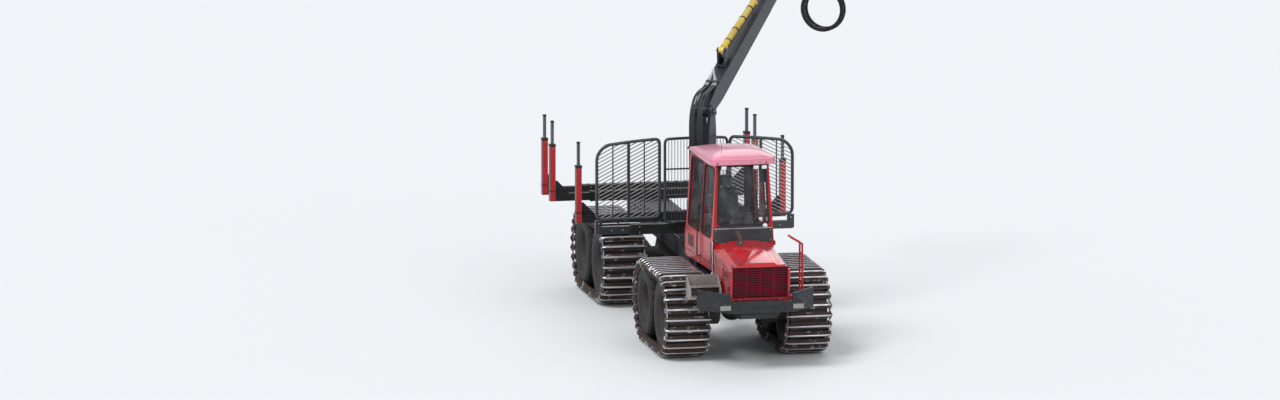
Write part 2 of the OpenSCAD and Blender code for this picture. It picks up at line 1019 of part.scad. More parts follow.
// Exhaust: a pipe on a flange, bent to the machine's right above the hood
stack_r = 42;
stack_wall = 6;
stack_h = 130;
stack_tip_l = 130;
stack_bend = 32;
stack_flange_half = 70;

module exhaust_stack() {
  stack_x = hood_back_x + 245;
  stack_y = -110;
  stack_z = hood_top_z + crest_h / cos(hood_slope) + eps - (stack_x - hood_back_x) * tan(hood_slope);
  color(black)
    translate([stack_x, stack_y, stack_z])
      difference() {
        union() {
          rotate([0, hood_slope, 0])
            translate([-stack_flange_half, -stack_flange_half, 0])
              cube([2 * stack_flange_half, 2 * stack_flange_half, 14]);
          translate([0, 0, 9])
            cylinder(h = stack_h - 9, r = stack_r);
          translate([0, 0, stack_h]) {
            sphere(stack_r);
            rotate([stack_bend, 0, 0])
              cylinder(h = stack_tip_l, r = stack_r);
          }
        }
        translate([0, 0, stack_h])
          rotate([stack_bend, 0, 0])
            cylinder(h = stack_tip_l + 10, r = stack_r - stack_wall);
      }
}

module engine() {
  engine_x = hood_back_x + 125;
  color("gray")
    span_box(
      [engine_x, engine_x + engine_l],
      [-engine_w / 2, engine_w / 2],
      [front_frame_top, front_frame_top + engine_h]
    );
}

// Bumper with angled wings and lamp pockets
bumper_x = front_frame_end;
lamp_y = 640;
lamp_w = 210;
lamp_h = 105;
lamp_deep = 60;
bumper_low_z = 1030;
lamp_z = bumper_low_z + 100;
wing_l = 570;

module bumper_plan() {
  polygon([
    [bumper_x, -560],
    [bumper_x, 560],
    [bumper_x - 440, bumper_half_w - 50],
    [bumper_x - wing_l, bumper_half_w - 50],
    [bumper_x - wing_l, bumper_half_w],
    [bumper_x - 420, bumper_half_w],
    [bumper_x + 70, 600],
    [bumper_x + 90, 540],
    [bumper_x + 90, -540],
    [bumper_x + 70, -600],
    [bumper_x - 420, -bumper_half_w],
    [bumper_x - wing_l, -bumper_half_w],
    [bumper_x - wing_l, -bumper_half_w + 50],
    [bumper_x - 440, -bumper_half_w + 50]
  ]);
}

// A lamp housing with a round socket for its reflector
module bumper_lamp() {
  front = bumper_x + 90;
  difference() {
    span_box([front - 230, front], [-lamp_w / 2, lamp_w / 2], [-lamp_h / 2, lamp_h / 2]);
    translate([front - lamp_deep, 0, 0])
      rotate([0, 90, 0])
        cylinder(h = 100, r = lamp_h / 2 - 10);
  }
}

module front_bumper() {
  notch_low_z = hood_low_z - 10;
  color(dark)
    union() {
      difference() {
        translate([0, 0, bumper_low_z])
          linear_extrude(bumper_h)
            bumper_plan();
        span_box(
          [bumper_x - 40, bumper_x + 200],
          [-hood_half_w - 20, hood_half_w + 20],
          [notch_low_z, notch_low_z + bumper_h]
        );
        both_sides()
          span_box(
            [bumper_x - 100, bumper_x + 200],
            [lamp_y - lamp_w / 2 + 1, lamp_y + lamp_w / 2 - 1],
            [lamp_z - lamp_h / 2 + 1, lamp_z + lamp_h / 2 - 1]
          );
      }
      both_sides()
        translate([0, lamp_y, lamp_z])
          bumper_lamp();
    }
}

// Steps, ladder and handrails
step_x = front_axle_x + wheel_base / 2 + loop_r + 48;
step_l = 330;
step_low_z = 1180;
step_high_z = 1560;
step_in_y = 560;
step_out_y = 1130;
step_plate_t = 30;
ladder_y = 860;
ladder_high_z = 2080;
rung_pitch = 240;
rail_d = 34;

module step_side() {
  polygon([
    [step_x, step_low_z + 20],
    [step_x + step_l, step_low_z + 20],
    [step_x + step_l - 30, step_high_z - 220],
    [step_x, step_high_z]
  ]);
}

module access_steps() {
  step_middle_z = (step_low_z + step_high_z) / 2;
  arm_x = [step_x + 40, step_x + step_l - 40];
  arm_z = [step_low_z - 80, step_low_z + 1];
  rail_xs = [step_x + 60, step_x + step_l - 60];
  color("tan")
    union() {
      // Right step box, carried by a bracket from the frame
      span_box([step_x, step_x + step_l], [-step_out_y, -step_in_y], [step_low_z, step_low_z + 50]);
      side_plate(-step_out_y, -step_out_y + step_plate_t)
        step_side();
      side_plate(-step_in_y - step_plate_t, -step_in_y)
        step_side();
      span_box([step_x, step_x + 25], [-step_out_y, -step_in_y], [step_low_z + 20, step_high_z]);
      span_box([step_x, step_x + step_l * 0.7], [-step_out_y, -step_in_y], [step_middle_z, step_middle_z + 25]);
      span_box(arm_x, [-step_in_y - 40, -frame_half_w], arm_z);
    }
  color(red)
    union() {
      span_box(arm_x, [frame_half_w, ladder_y + 40], arm_z);
      for (x = rail_xs) {
        strut([x, ladder_y, step_low_z - 10], [x, ladder_y, ladder_high_z], rail_d);
        strut([x, ladder_y, ladder_high_z], [x - 40, ladder_y - 200, ladder_high_z + 120], rail_d);
        translate([x, ladder_y, ladder_high_z])
          sphere(rail_d / 2 + 2);
      }
      for (z = [rung_pitch : rung_pitch : ladder_high_z - step_low_z - rung_pitch / 2])
        translate([0, ladder_y, step_low_z + z])
          strut([rail_xs[0], 0, 0], [rail_xs[1], 0, 0], rail_d);
    }
}

// Load space: bolster tubes, sliding stakes and the headboard in three parts
bolster_wall = 15;
bolster_tube_half = 1150;
bolster_w = 160;
slide_gap = 6;
bolster_xs = [rear_axle_x + 1100, rear_end_x + 1090, rear_end_x + 390];
headboard_beam_x = headboard_x - 60;
slide_in_y = 380;
bunk_travel = 330;
gusset_l = stake_y - stake_d / 2 - bolster_tube_half - bunk_travel - 10;
side_panel_y = 600;
panel_t = 50;
panel_gap = 14;
middle_x = headboard_x;
side_x = headboard_x - panel_t - panel_gap;

module bolster_tube(x) {
  translate([x, 0, bolster_low_z])
    difference() {
      translate([-bolster_w / 2, -bolster_tube_half, 0])
        cube([bolster_w, 2 * bolster_tube_half, bolster_h]);
      translate([-bolster_w / 2 + bolster_wall, -bolster_tube_half - 1, bolster_wall])
        cube([bolster_w - 2 * bolster_wall, 2 * bolster_tube_half + 2, bolster_h - 2 * bolster_wall]);
    }
}

module bolsters() {
  color(black)
    for (x = concat(bolster_xs, [headboard_beam_x]))
      bolster_tube(x);
}

// The bar that slides in a bolster tube, out to a given y
module slide_bar(x, y_out) {
  inner_w = bolster_w - 2 * bolster_wall - 2 * slide_gap;
  inner_h = bolster_h - 2 * bolster_wall - slide_gap - eps;
  translate([x - inner_w / 2, slide_in_y, bolster_low_z + bolster_wall + eps])
    cube([inner_w, y_out - slide_in_y, inner_h]);
}

module stakes_left() {
  foot_z = bolster_low_z + bolster_wall + eps;
  for (x = bolster_xs) {
    color(red)
      union() {
        slide_bar(x, stake_y - stake_d / 2 + 1);
        translate([x - stake_w / 2, stake_y - stake_d / 2, foot_z])
          cube([stake_w, stake_d, stake_h + bolster_h - bolster_wall]);
        translate([x - stake_w / 4, stake_y - stake_d / 4, foot_z + stake_h])
          cube([stake_w / 2, stake_d / 2, stake_top_h + bolster_h]);
        translate([x, 0, 0])
          cross_plate(-15, 15)
            polygon([
              [stake_y - stake_d / 2 - gusset_l, foot_z + 100],
              [stake_y - stake_d / 2 + 1, foot_z + 100],
              [stake_y - stake_d / 2 + 1, foot_z + bolster_h + 190],
              [stake_y - stake_d / 2 - 40, foot_z + bolster_h + 190]
            ]);
      }
  }
}

module stakes_right() {
  mirror([0, 1, 0])
    stakes_left();
}

// Height of the headboard's top edge at a distance from the centre line
function headboard_top(y) =
  headboard_top_z + headboard_rise * (1 - pow(abs(y) / headboard_half_w, 2));

module side_panel_outline(inset) {
  y0 = side_panel_y + inset;
  y1 = headboard_half_w - inset;
  polygon([
    [y0, headboard_low_z + inset],
    [y1, headboard_low_z + inset],
    [y1, headboard_top(y1) - 150 - inset],
    [y1 - 45, headboard_top(y1) - 45 - inset],
    [y1 - 150, headboard_top(y1 - 150) - inset],
    [(y0 + y1) / 2, headboard_top((y0 + y1) / 2) - inset],
    [y0, headboard_top(y0) - inset]
  ]);
}

module slats() {
  height = headboard_top_z + headboard_rise - headboard_low_z;
  reach = (headboard_half_w - side_panel_y) * tan(slat_angle);
  for (z = [-reach : slat_pitch : height])
    polygon([
      [headboard_half_w, headboard_low_z + z],
      [headboard_half_w, headboard_low_z + z + 16],
      [side_panel_y, headboard_low_z + z + reach + 16],
      [side_panel_y, headboard_low_z + z + reach]
    ]);
}

module headboard_left() {
  posts = [[900, 20], [1180, 50], [1460, 20]];
  color(dark)
    union() {
      cross_plate(side_x - panel_t, side_x)
        difference() {
          side_panel_outline(0);
          side_panel_outline(headboard_tube * 0.8);
        }
      cross_plate(side_x - panel_t / 2 - 8, side_x - panel_t / 2 + 8)
        intersection() {
          side_panel_outline(headboard_tube * 0.8 - 2);
          slats();
        }
      cross_plate(side_x - panel_t + 8, side_x - 8)
        intersection() {
          side_panel_outline(headboard_tube * 0.8 - 2);
          union()
            for (p = posts)
              translate([p[0] - p[1] / 2, headboard_low_z])
                square([p[1], 1600]);
        }
      slide_bar(headboard_beam_x, headboard_half_w - 40);
      cross_plate(side_x - panel_t, side_x)
        translate([headboard_half_w - 120, bolster_low_z + bolster_wall + eps])
          square([120, headboard_low_z - bolster_low_z]);
    }
}

module headboard_right() {
  mirror([0, 1, 0])
    headboard_left();
}

module middle_outline(inset) {
  y1 = side_panel_y - 20 - inset;
  polygon([
    [-y1, headboard_low_z - 70 + inset],
    [y1, headboard_low_z - 70 + inset],
    [y1, headboard_top(y1) - inset],
    [0, headboard_top(0) - inset],
    [-y1, headboard_top(y1) - inset]
  ]);
}

module headboard_middle() {
  bar_pitch = 54;
  bar_t = 12;
  bars_each_side = floor((side_panel_y - 60) / bar_pitch);
  color(dark)
    union() {
      cross_plate(middle_x, middle_x + panel_t)
        difference() {
          middle_outline(0);
          middle_outline(50);
        }
      cross_plate(middle_x + 17, middle_x + 33)
        intersection() {
          middle_outline(48);
          union() {
            for (i = [-bars_each_side : bars_each_side])
              translate([i * bar_pitch - bar_t / 2, headboard_low_z - 70])
                square([bar_t, 1700]);
            for (z = [2160, 2626])
              translate([-700, z])
                square([1400, 30]);
          }
        }
    }
}

// Crane frames: turned to the boom's heading, along the inner boom, along the outer boom, at the tip
module at_crane() {
  translate([crane_x, 0, 0])
    rotate([0, 0, boom_heading])
      children();
}

module at_inner() {
  at_crane()
    translate([0, 0, pivot_z])
      rotate([0, -boom_rise, 0])
        children();
}

module at_outer() {
  at_inner()
    translate([boom_len, 0, 0])
      rotate([0, boom_rise - jib_rise, 0])
        children();
}

tip_reach = jib_len + tip_out;
tip_u = boom_len * cos(boom_rise) + tip_reach * cos(jib_rise);
tip_z = pivot_z + boom_len * sin(boom_rise) + tip_reach * sin(jib_rise);

module at_tip() {
  at_crane()
    translate([tip_u, 0, tip_z])
      children();
}

module v_pin(r, half_w) {
  y_cylinder(r, -half_w, half_w);
}

// Two plates with a gap between them, drawn as one outline in the boom's plane
module plate_pair(inner, outer) {
  both_sides()
    side_plate(inner, outer)
      children();
}

cheek_in = boom_w / 2 + 6;
cheek_out = pillar_w / 2;
valve_z = slew_z + 560;
lift_low_u = 290;
lift_low_z = 2330;
lift_pin_r = 30;
lug_in = 51;
lug_out = 76;
eye_half = 45;
lift_top_u = 340;
lift_top_w = -262;

module crane_pillar() {
  color(dark)
    at_crane()
      union() {
        translate([0, 0, slew_z])
          cylinder(h = 50, r = 275);
        side_plate(-cheek_out, cheek_out)
          polygon([
            [-190, slew_z + 49],
            [190, slew_z + 49],
            [190, slew_z + 300],
            [150, pivot_z - 280],
            [-190, pivot_z - 280]
          ]);
        plate_pair(cheek_in, cheek_out)
          difference() {
            union() {
              polygon([
                [-190, pivot_z - 300],
                [150, pivot_z - 300],
                [105, pivot_z],
                [-105, pivot_z]
              ]);
              translate([0, pivot_z])
                circle(115);
            }
            translate([0, pivot_z])
              circle(boom_pin_r + 0.05);
          }
        plate_pair(lug_in, lug_out)
          union() {
            polygon([
              [150, lift_low_z - 120],
              [lift_low_u, lift_low_z - 60],
              [lift_low_u, lift_low_z + 60],
              [150, lift_low_z + 120]
            ]);
            translate([lift_low_u, lift_low_z])
              circle(60);
          }
        translate([lift_low_u, 0, lift_low_z])
          v_pin(lift_pin_r, lug_out + 10);
        // Valve block on the pillar's back
        span_box([-310, -189], [-140, 140], [valve_z, valve_z + 340]);
      }
}

knuckle_in = jib_w / 2 + 6;
slot_u = boom_len - 440;
jib_base_u = 1250;
jib_base_w = 435;
jib_pin_r = 28;
horn_u = -352;
horn_w = 142;

module inner_boom_outline() {
  end_h = boom_h * 0.82;
  union() {
    polygon([
      [0, -115],
      [0, 115],
      [560, boom_h / 2],
      [slot_u, end_h / 2],
      [boom_len - 200, end_h / 2 - 20],
      [boom_len, 115],
      [boom_len, -115],
      [boom_len - 200, -end_h / 2],
      [slot_u, -end_h / 2],
      [560, -boom_h / 2]
    ]);
    circle(115);
    translate([boom_len, 0])
      circle(115);
  }
}

module inner_boom() {
  color(dark)
    at_inner()
      union() {
        difference() {
          side_plate(-boom_w / 2, boom_w / 2)
            inner_boom_outline();
          span_box([slot_u, boom_len + 200], [-knuckle_in, knuckle_in], [-300, 300]);
          side_plate(-boom_w / 2 + boom_plate_t, boom_w / 2 - boom_plate_t)
            polygon([
              [600, -boom_h / 2 + boom_plate_t],
              [slot_u + 1, -boom_h * 0.41 + boom_plate_t],
              [slot_u + 1, boom_h * 0.41 - boom_plate_t],
              [600, boom_h / 2 - boom_plate_t]
            ]);
        }
        v_pin(boom_pin_r, cheek_out + 12);
        translate([boom_len, 0, 0])
          v_pin(boom_pin_r, boom_w / 2 + 12);
        plate_pair(lug_in, lug_out)
          union() {
            polygon([
              [lift_top_u - 170, -120],
              [lift_top_u - 45, lift_top_w],
              [lift_top_u + 45, lift_top_w],
              [lift_top_u + 170, -150]
            ]);
            translate([lift_top_u, lift_top_w])
              circle(55);
          }
        plate_pair(lug_in, lug_out + 10)
          translate([lift_top_u, lift_top_w])
            circle(lift_pin_r);
        plate_pair(lug_in, lug_out)
          union() {
            polygon([
              [jib_base_u - 160, 150],
              [jib_base_u - 50, jib_base_w],
              [jib_base_u + 45, jib_base_w],
              [jib_base_u + 120, 150]
            ]);
            translate([jib_base_u, jib_base_w])
              circle(50);
          }
        translate([jib_base_u, 0, jib_base_w])
          v_pin(jib_pin_r, lug_out + 10);
      }
}

// Outer boom: root, horn and a square tube that the extension slides in
tube_wall = 14;
tube_start = 240;

module outer_boom() {
  color(dark)
    at_outer()
      difference() {
        union() {
          side_plate(-jib_w / 2, jib_w / 2)
            difference() {
              union() {
                circle(105);
                polygon([
                  [0, -105],
                  [jib_len, -jib_h / 2],
                  [jib_len, jib_h / 2],
                  [200, jib_h / 2],
                  [0, 105]
                ]);
              }
              circle(boom_pin_r + 0.05);
            }
          plate_pair(lug_in, lug_out)
            difference() {
              union() {
                polygon([
                  [-50, -80],
                  [60, 90],
                  [horn_u + 10, horn_w + 50],
                  [horn_u - 40, horn_w - 30]
                ]);
                translate([horn_u, horn_w])
                  circle(52);
              }
              circle(boom_pin_r + 0.05);
            }
          plate_pair(lug_in, lug_out + 8)
            translate([horn_u, horn_w])
              circle(jib_pin_r);
        }
        span_box(
          [tube_start, jib_len + 1],
          [-jib_w / 2 + tube_wall, jib_w / 2 - tube_wall],
          [-jib_h / 2 + tube_wall, jib_h / 2 - tube_wall]
        );
      }
}

fork_in = 46;
fork_out = 70;
fork_l = 300;
fork_r = 52;
tip_pin_r = 25;

module boom_extension() {
  half_w = jib_w / 2 - tube_wall - 6;
  low = -jib_h / 2 + tube_wall + eps;
  high = jib_h / 2 - tube_wall - 6;
  color(dark)
    at_outer()
      union() {
        span_box([tube_start + 40, tip_reach - fork_l], [-half_w, half_w], [low, high]);
        plate_pair(fork_in, fork_out)
          union() {
            polygon([
              [tip_reach - fork_l - 80, low + 10],
              [tip_reach - fork_l, -60],
              [tip_reach, -fork_r],
              [tip_reach, fork_r],
              [tip_reach - fork_l - 80, high - 10]
            ]);
            translate([tip_reach, 0])
              circle(fork_r);
          }
        translate([tip_reach, 0, 0])
          v_pin(tip_pin_r, fork_out + 8);
      }
}

// Cylinders: a barrel with an eye at its base, closed by a gland round its rod. The rod's eye carries its own
// pin between the lugs that it serves, because the linkage is open there.
function angle_to(from, to) = atan2(to[1] - from[1], to[0] - from[0]);

gland_l = 40;

module barrel_shape(d, length, pin_r, eye_r, rod_d) {
  difference() {
    union() {
      side_plate(-eye_half, eye_half)
        circle(eye_r);
      span_box([0, eye_r + 45], [-eye_half, eye_half], [-eye_r * 0.8, eye_r * 0.8]);
      translate([eye_r + 30, 0, 0])
        rotate([0, 90, 0])
          cylinder(h = length - eye_r - 30, d = d);
      translate([length - 70, 0, 0])
        rotate([0, 90, 0])
          cylinder(h = 70, d = d + 16);
    }
    v_pin(pin_r + 0.05, 200);
    translate([eye_r + 70, 0, 0])
      rotate([0, 90, 0])
        cylinder(h = length - eye_r - 70 - gland_l, d = d - 30);
    translate([eye_r + 70, 0, 0])
      rotate([0, 90, 0])
        cylinder(h = length, d = rod_d + 0.1);
  }
}

module rod_shape(d, start, length, pin_r, eye_r) {
  union() {
    translate([start, 0, 0])
      rotate([0, 90, 0])
        cylinder(h = length - start, d = d);
    translate([length, 0, 0])
      side_plate(-eye_half, eye_half)
        circle(eye_r);
    translate([length, 0, 0])
      v_pin(pin_r, lug_in - 1);
  }
}

lift_low = [lift_low_u, lift_low_z];
lift_top = [
  lift_top_u * cos(boom_rise) - lift_top_w * sin(boom_rise),
  pivot_z + lift_top_u * sin(boom_rise) + lift_top_w * cos(boom_rise)
];
lift_len = norm(lift_top - lift_low);
lift_barrel_len = 950;
lift_rod_start = 430;
lift_rod_d = 84;

module at_lift() {
  at_crane()
    translate([lift_low[0], 0, lift_low[1]])
      rotate([0, -angle_to(lift_low, lift_top), 0])
        children();
}

module lift_barrel() {
  color(dark)
    at_lift()
      barrel_shape(lift_barrel_d, lift_barrel_len, lift_pin_r, 52, lift_rod_d);
}

module lift_rod() {
  color(steel)
    at_lift()
      rod_shape(lift_rod_d, lift_rod_start, lift_len, lift_pin_r, 47);
}

jib_low = [jib_base_u, jib_base_w];
jib_turn = boom_rise - jib_rise;
jib_top = [
  boom_len + horn_u * cos(jib_turn) + horn_w * sin(jib_turn),
  -horn_u * sin(jib_turn) + horn_w * cos(jib_turn)
];
jib_cyl_len = norm(jib_top - jib_low);
jib_barrel_len = 1750;
jib_rod_start = 900;
jib_rod_d = 65;

module at_jib_cylinder() {
  at_inner()
    translate([jib_low[0], 0, jib_low[1]])
      rotate([0, -angle_to(jib_low, jib_top), 0])
        children();
}

module jib_barrel() {
  color("gold")
    at_jib_cylinder()
      barrel_shape(jib_barrel_d, jib_barrel_len, jib_pin_r, 48, jib_rod_d);
}

module jib_rod() {
  color(steel)
    at_jib_cylinder()
      rod_shape(jib_rod_d, jib_rod_start, jib_cyl_len, jib_pin_r, 46);
}

// Hanging link with crossed pins, rotator and grapple
module tip_link() {
  color(dark)
    at_tip()
      difference() {
        union() {
          v_pin(50, 40);
          span_box([-38, 38], [-38, 38], [-link_len + 20, -20]);
          translate([-34, 0, -link_len])
            rotate([0, 90, 0])
              cylinder(h = 68, r = 50);
        }
        v_pin(tip_pin_r + 0.05, 60);
        translate([-50, 0, -link_len])
          rotate([0, 90, 0])
            cylinder(h = 100, r = tip_pin_r + 0.05);
      }
}

module rotator() {
  color(black)
    at_tip()
      translate([0, 0, -link_len])
        union() {
          for (u = [-66, 41])
            translate([u, 0, 0])
              cross_plate(0, 25)
                union() {
                  circle(50);
                  translate([-50, -110])
                    square([100, 110]);
                }
          translate([-74, 0, 0])
            rotate([0, 90, 0])
              cylinder(h = 148, r = tip_pin_r);
          translate([0, 0, -rotator_h])
            cylinder(h = rotator_h - 100, r = 115);
        }
}

head_drop = 260;
head_z = -link_len - rotator_h - eps - head_drop;
jaw_pin_r = 25;
jaw_horn = [110, 120];
horn_y = jaw_pin_y + jaw_horn[0];
horn_pin_r = 18;
jaw_band = 70;
jaw_centre_z = -400;
far_in = 40;
far_out = 62;
near_in = 70;
near_out = 92;

module at_head() {
  at_tip()
    translate([0, 0, head_z])
      children();
}

module x_pin(y, z, r, half_w) {
  translate([-half_w, y, z])
    rotate([0, 90, 0])
      cylinder(h = 2 * half_w, r = r);
}

module grapple_head() {
  color(dark)
    at_head()
      union() {
        cross_plate(-34, 34)
          union() {
            square([2 * jaw_pin_y, 120], center = true);
            for (y = [-1, 1] * jaw_pin_y)
              translate([y, 0])
                circle(60);
          }
        for (y = [-1, 1] * jaw_pin_y)
          x_pin(y, 0, jaw_pin_r, near_out + 10);
        span_box([-100, 100], [-70, 70], [20, 60]);
        for (x = [-100, 70])
          span_box([x, x + 30], [-70, 70], [59, head_drop - 20]);
        translate([0, 0, head_drop - 30])
          cylinder(h = 30, r = 130);
      }
}

// One jaw on the +Y side: a pair of curved plates, their horn and their cross ties. The horn pin of the far jaw
// belongs to the rod's eye, because the linkage is open there.
module jaw(inner, outer, pinned) {
  pin = [jaw_pin_y, 0];
  difference() {
    union() {
      for (x = [-outer, inner])
        cross_plate(x, x + outer - inner)
          union() {
            translate(pin)
              circle(62);
            polygon([
              [jaw_pin_y - 40, -45],
              [jaw_pin_y + 20, 60],
              [jaw_pin_y + 150, -40],
              [jaw_r + 40, jaw_centre_z + 210],
              [jaw_r - 80, jaw_centre_z + 230]
            ]);
            polygon([
              [jaw_pin_y - 55, 25],
              [jaw_pin_y + jaw_horn[0] - 25, jaw_horn[1] + 25],
              [jaw_pin_y + jaw_horn[0] + 30, jaw_horn[1] - 20],
              [jaw_pin_y + 55, -30]
            ]);
            translate([jaw_pin_y + jaw_horn[0], jaw_horn[1]])
              circle(34);
            translate([0, jaw_centre_z])
              intersection() {
                difference() {
                  circle(jaw_r + jaw_band);
                  circle(jaw_r);
                }
                polygon([
                  [0, 0],
                  [-150, -560],
                  [560, -560],
                  [560, 520]
                ]);
              }
          }
      for (a = [-60, 10])
        x_pin((jaw_r + jaw_band / 2) * cos(a), jaw_centre_z + (jaw_r + jaw_band / 2) * sin(a), 24, outer - 1);
      if (pinned)
        x_pin(horn_y, jaw_horn[1], horn_pin_r, outer);
    }
    x_pin(jaw_pin_y, 0, jaw_pin_r + 0.05, 200);
  }
}

module grapple_jaw_near() {
  color(dark)
    at_head()
      jaw(near_in, near_out, true);
}

module grapple_jaw_far() {
  color(dark)
    at_head()
      mirror([0, 1, 0])
        jaw(far_in, far_out, false);
}

grapple_barrel_l = 318;
grapple_rod_l = 314;
grapple_rod_d = 40;

module grapple_barrel() {
  color(dark)
    at_head()
      difference() {
        union() {
          x_pin(horn_y, jaw_horn[1], 34, 34);
          translate([0, horn_y, jaw_horn[1]])
            rotate([90, 0, 0])
              cylinder(h = grapple_barrel_l, d = 76);
        }
        x_pin(horn_y, jaw_horn[1], horn_pin_r + 0.05, 60);
        translate([0, horn_y - 38, jaw_horn[1]])
          rotate([90, 0, 0])
            cylinder(h = grapple_barrel_l - 48, d = 56);
        translate([0, horn_y - 38, jaw_horn[1]])
          rotate([90, 0, 0])
            cylinder(h = grapple_barrel_l, d = grapple_rod_d + 0.1);
      }
}

module grapple_rod() {
  color(steel)
    at_head()
      union() {
        x_pin(-horn_y, jaw_horn[1], 32, 34);
        x_pin(-horn_y, jaw_horn[1], horn_pin_r, far_in - 1);
        translate([0, -horn_y, jaw_horn[1]])
          rotate([-90, 0, 0])
            cylinder(h = grapple_rod_l, d = grapple_rod_d);
      }
}

// Draws the chosen sub-part
front_frame();
front_bumper();
engine();
cab_shell();
cab_roof();
cab_windows();
driver_seat();
cab_console();
access_steps();
front_bogies();
front_wheels();
front_tyres();
front_tracks();
cab_door();
door_window();
hood();
grille();
exhaust_stack();
centre_joint();
rear_frame();
rear_bogies();
rear_wheels();
rear_tyres();
rear_tracks();
headboard_middle();
headboard_left();
headboard_right();
bolsters();
stakes_left();
stakes_right();
crane_pillar();
inner_boom();
outer_boom();
boom_extension();
lift_barrel();
lift_rod();
jib_barrel();
jib_rod();
tip_link();
rotator();
grapple_head();
grapple_jaw_near();
grapple_jaw_far();
grapple_barrel();
grapple_rod();
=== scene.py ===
"""Looks of the forestry forwarder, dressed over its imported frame."""
import json
import math

import bpy
import bmesh
from mathutils import Matrix, Vector

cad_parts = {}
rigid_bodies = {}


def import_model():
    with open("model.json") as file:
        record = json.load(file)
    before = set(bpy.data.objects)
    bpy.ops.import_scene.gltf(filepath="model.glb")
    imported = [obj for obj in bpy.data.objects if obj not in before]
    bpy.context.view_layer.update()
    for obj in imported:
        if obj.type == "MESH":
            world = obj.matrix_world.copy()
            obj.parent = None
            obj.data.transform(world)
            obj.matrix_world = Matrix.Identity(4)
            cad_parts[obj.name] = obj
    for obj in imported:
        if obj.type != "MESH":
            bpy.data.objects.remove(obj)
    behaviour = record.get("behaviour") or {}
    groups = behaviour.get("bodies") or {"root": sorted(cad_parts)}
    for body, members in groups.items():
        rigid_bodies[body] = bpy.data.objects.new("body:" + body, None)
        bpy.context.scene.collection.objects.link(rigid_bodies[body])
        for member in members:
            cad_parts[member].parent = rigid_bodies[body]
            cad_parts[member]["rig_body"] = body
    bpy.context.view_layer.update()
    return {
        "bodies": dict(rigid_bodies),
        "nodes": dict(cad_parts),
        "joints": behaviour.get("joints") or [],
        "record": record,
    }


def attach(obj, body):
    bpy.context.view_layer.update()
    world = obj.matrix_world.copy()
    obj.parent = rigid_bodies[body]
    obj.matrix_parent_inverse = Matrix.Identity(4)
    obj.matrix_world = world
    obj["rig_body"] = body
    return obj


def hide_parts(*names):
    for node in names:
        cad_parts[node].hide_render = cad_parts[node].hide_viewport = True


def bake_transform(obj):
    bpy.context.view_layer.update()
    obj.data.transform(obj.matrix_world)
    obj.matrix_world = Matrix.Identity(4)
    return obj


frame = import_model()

NODES = frame["nodes"]
LINEAR = {
    "red": (0.47, 0.0012, 0.0085),
    "deep_red": (0.165, 0.002, 0.018),
    "pink": (0.7, 0.215, 0.315),
    "blue_grey": (0.016, 0.02, 0.029),
    "black": (0.01, 0.011, 0.013),
    "yellow": (0.62, 0.42, 0.03),
    "rust": (0.06, 0.03, 0.024),
    "mud": (0.085, 0.064, 0.05),
    "dust": (0.2, 0.175, 0.155),
    "rubber": (0.022, 0.02, 0.02),
    "cloth": (0.03, 0.034, 0.045),
}


# Camera, light and floor

VIEW_AZIMUTH = math.radians(78.5)
VIEW_ELEVATION = math.radians(9.5)
VIEW_DISTANCE = 274.9
VIEW_TARGET = Vector((3.39, -1.924, 2.887))
FOCAL_LENGTH = 450.0
SENSOR_WIDTH = 36
CLIP_END = 20000
FLOOR_SIZE = 900.0
BACKDROP = (0.8, 0.81, 0.82, 1)
FLOOR_COLOUR = (0.7, 0.71, 0.72, 1)
SKY_COLOUR = (0.9, 0.95, 1.0, 1)
SKY_STRENGTH = 0.55


def make_camera():
    away = Vector((
        math.cos(VIEW_ELEVATION) * math.sin(VIEW_AZIMUTH),
        -math.cos(VIEW_ELEVATION) * math.cos(VIEW_AZIMUTH),
        math.sin(VIEW_ELEVATION),
    ))
    camera = bpy.data.objects.new("camera", bpy.data.cameras.new("camera"))
    camera.data.lens = FOCAL_LENGTH
    camera.data.sensor_width = SENSOR_WIDTH
    camera.data.clip_end = CLIP_END
    camera.location = VIEW_TARGET + VIEW_DISTANCE * away
    camera.rotation_euler = away.to_track_quat("Z", "Y").to_euler()
    bpy.context.scene.collection.objects.link(camera)
    bpy.context.scene.camera = camera


def make_sun(name, azimuth, elevation, strength, soft_angle, colour=(1, 1, 1)):
    sun = bpy.data.objects.new(name, bpy.data.lights.new(name, "SUN"))
    sun.data.energy = strength
    sun.data.angle = math.radians(soft_angle)
    sun.data.color = colour
    az, el = math.radians(azimuth), math.radians(elevation)
    towards = Vector((math.cos(el) * math.sin(az), -math.cos(el) * math.cos(az), math.sin(el)))
    sun.rotation_euler = towards.to_track_quat("Z", "Y").to_euler()
    bpy.context.scene.collection.objects.link(sun)


def make_world():
    world = bpy.data.worlds.new("studio")
    world.use_nodes = True
    bpy.context.scene.world = world
    tree = world.node_tree
    tree.nodes.clear()
    rays = tree.nodes.new("ShaderNodeLightPath")
    shown = tree.nodes.new("ShaderNodeMath")
    shown.operation = "MAXIMUM"
    tree.links.new(rays.outputs["Is Camera Ray"], shown.inputs[0])
    tree.links.new(rays.outputs["Is Transmission Ray"], shown.inputs[1])
    sky = tree.nodes.new("ShaderNodeBackground")
    sky.inputs["Color"].default_value = SKY_COLOUR
    sky.inputs["Strength"].default_value = SKY_STRENGTH
    backdrop = tree.nodes.new("ShaderNodeBackground")
    backdrop.inputs["Color"].default_value = BACKDROP
    mix = tree.nodes.new("ShaderNodeMixShader")
    out = tree.nodes.new("ShaderNodeOutputWorld")
    tree.links.new(shown.outputs[0], mix.inputs[0])
    tree.links.new(sky.outputs[0], mix.inputs[1])
    tree.links.new(backdrop.outputs[0], mix.inputs[2])
    tree.links.new(mix.outputs[0], out.inputs[0])


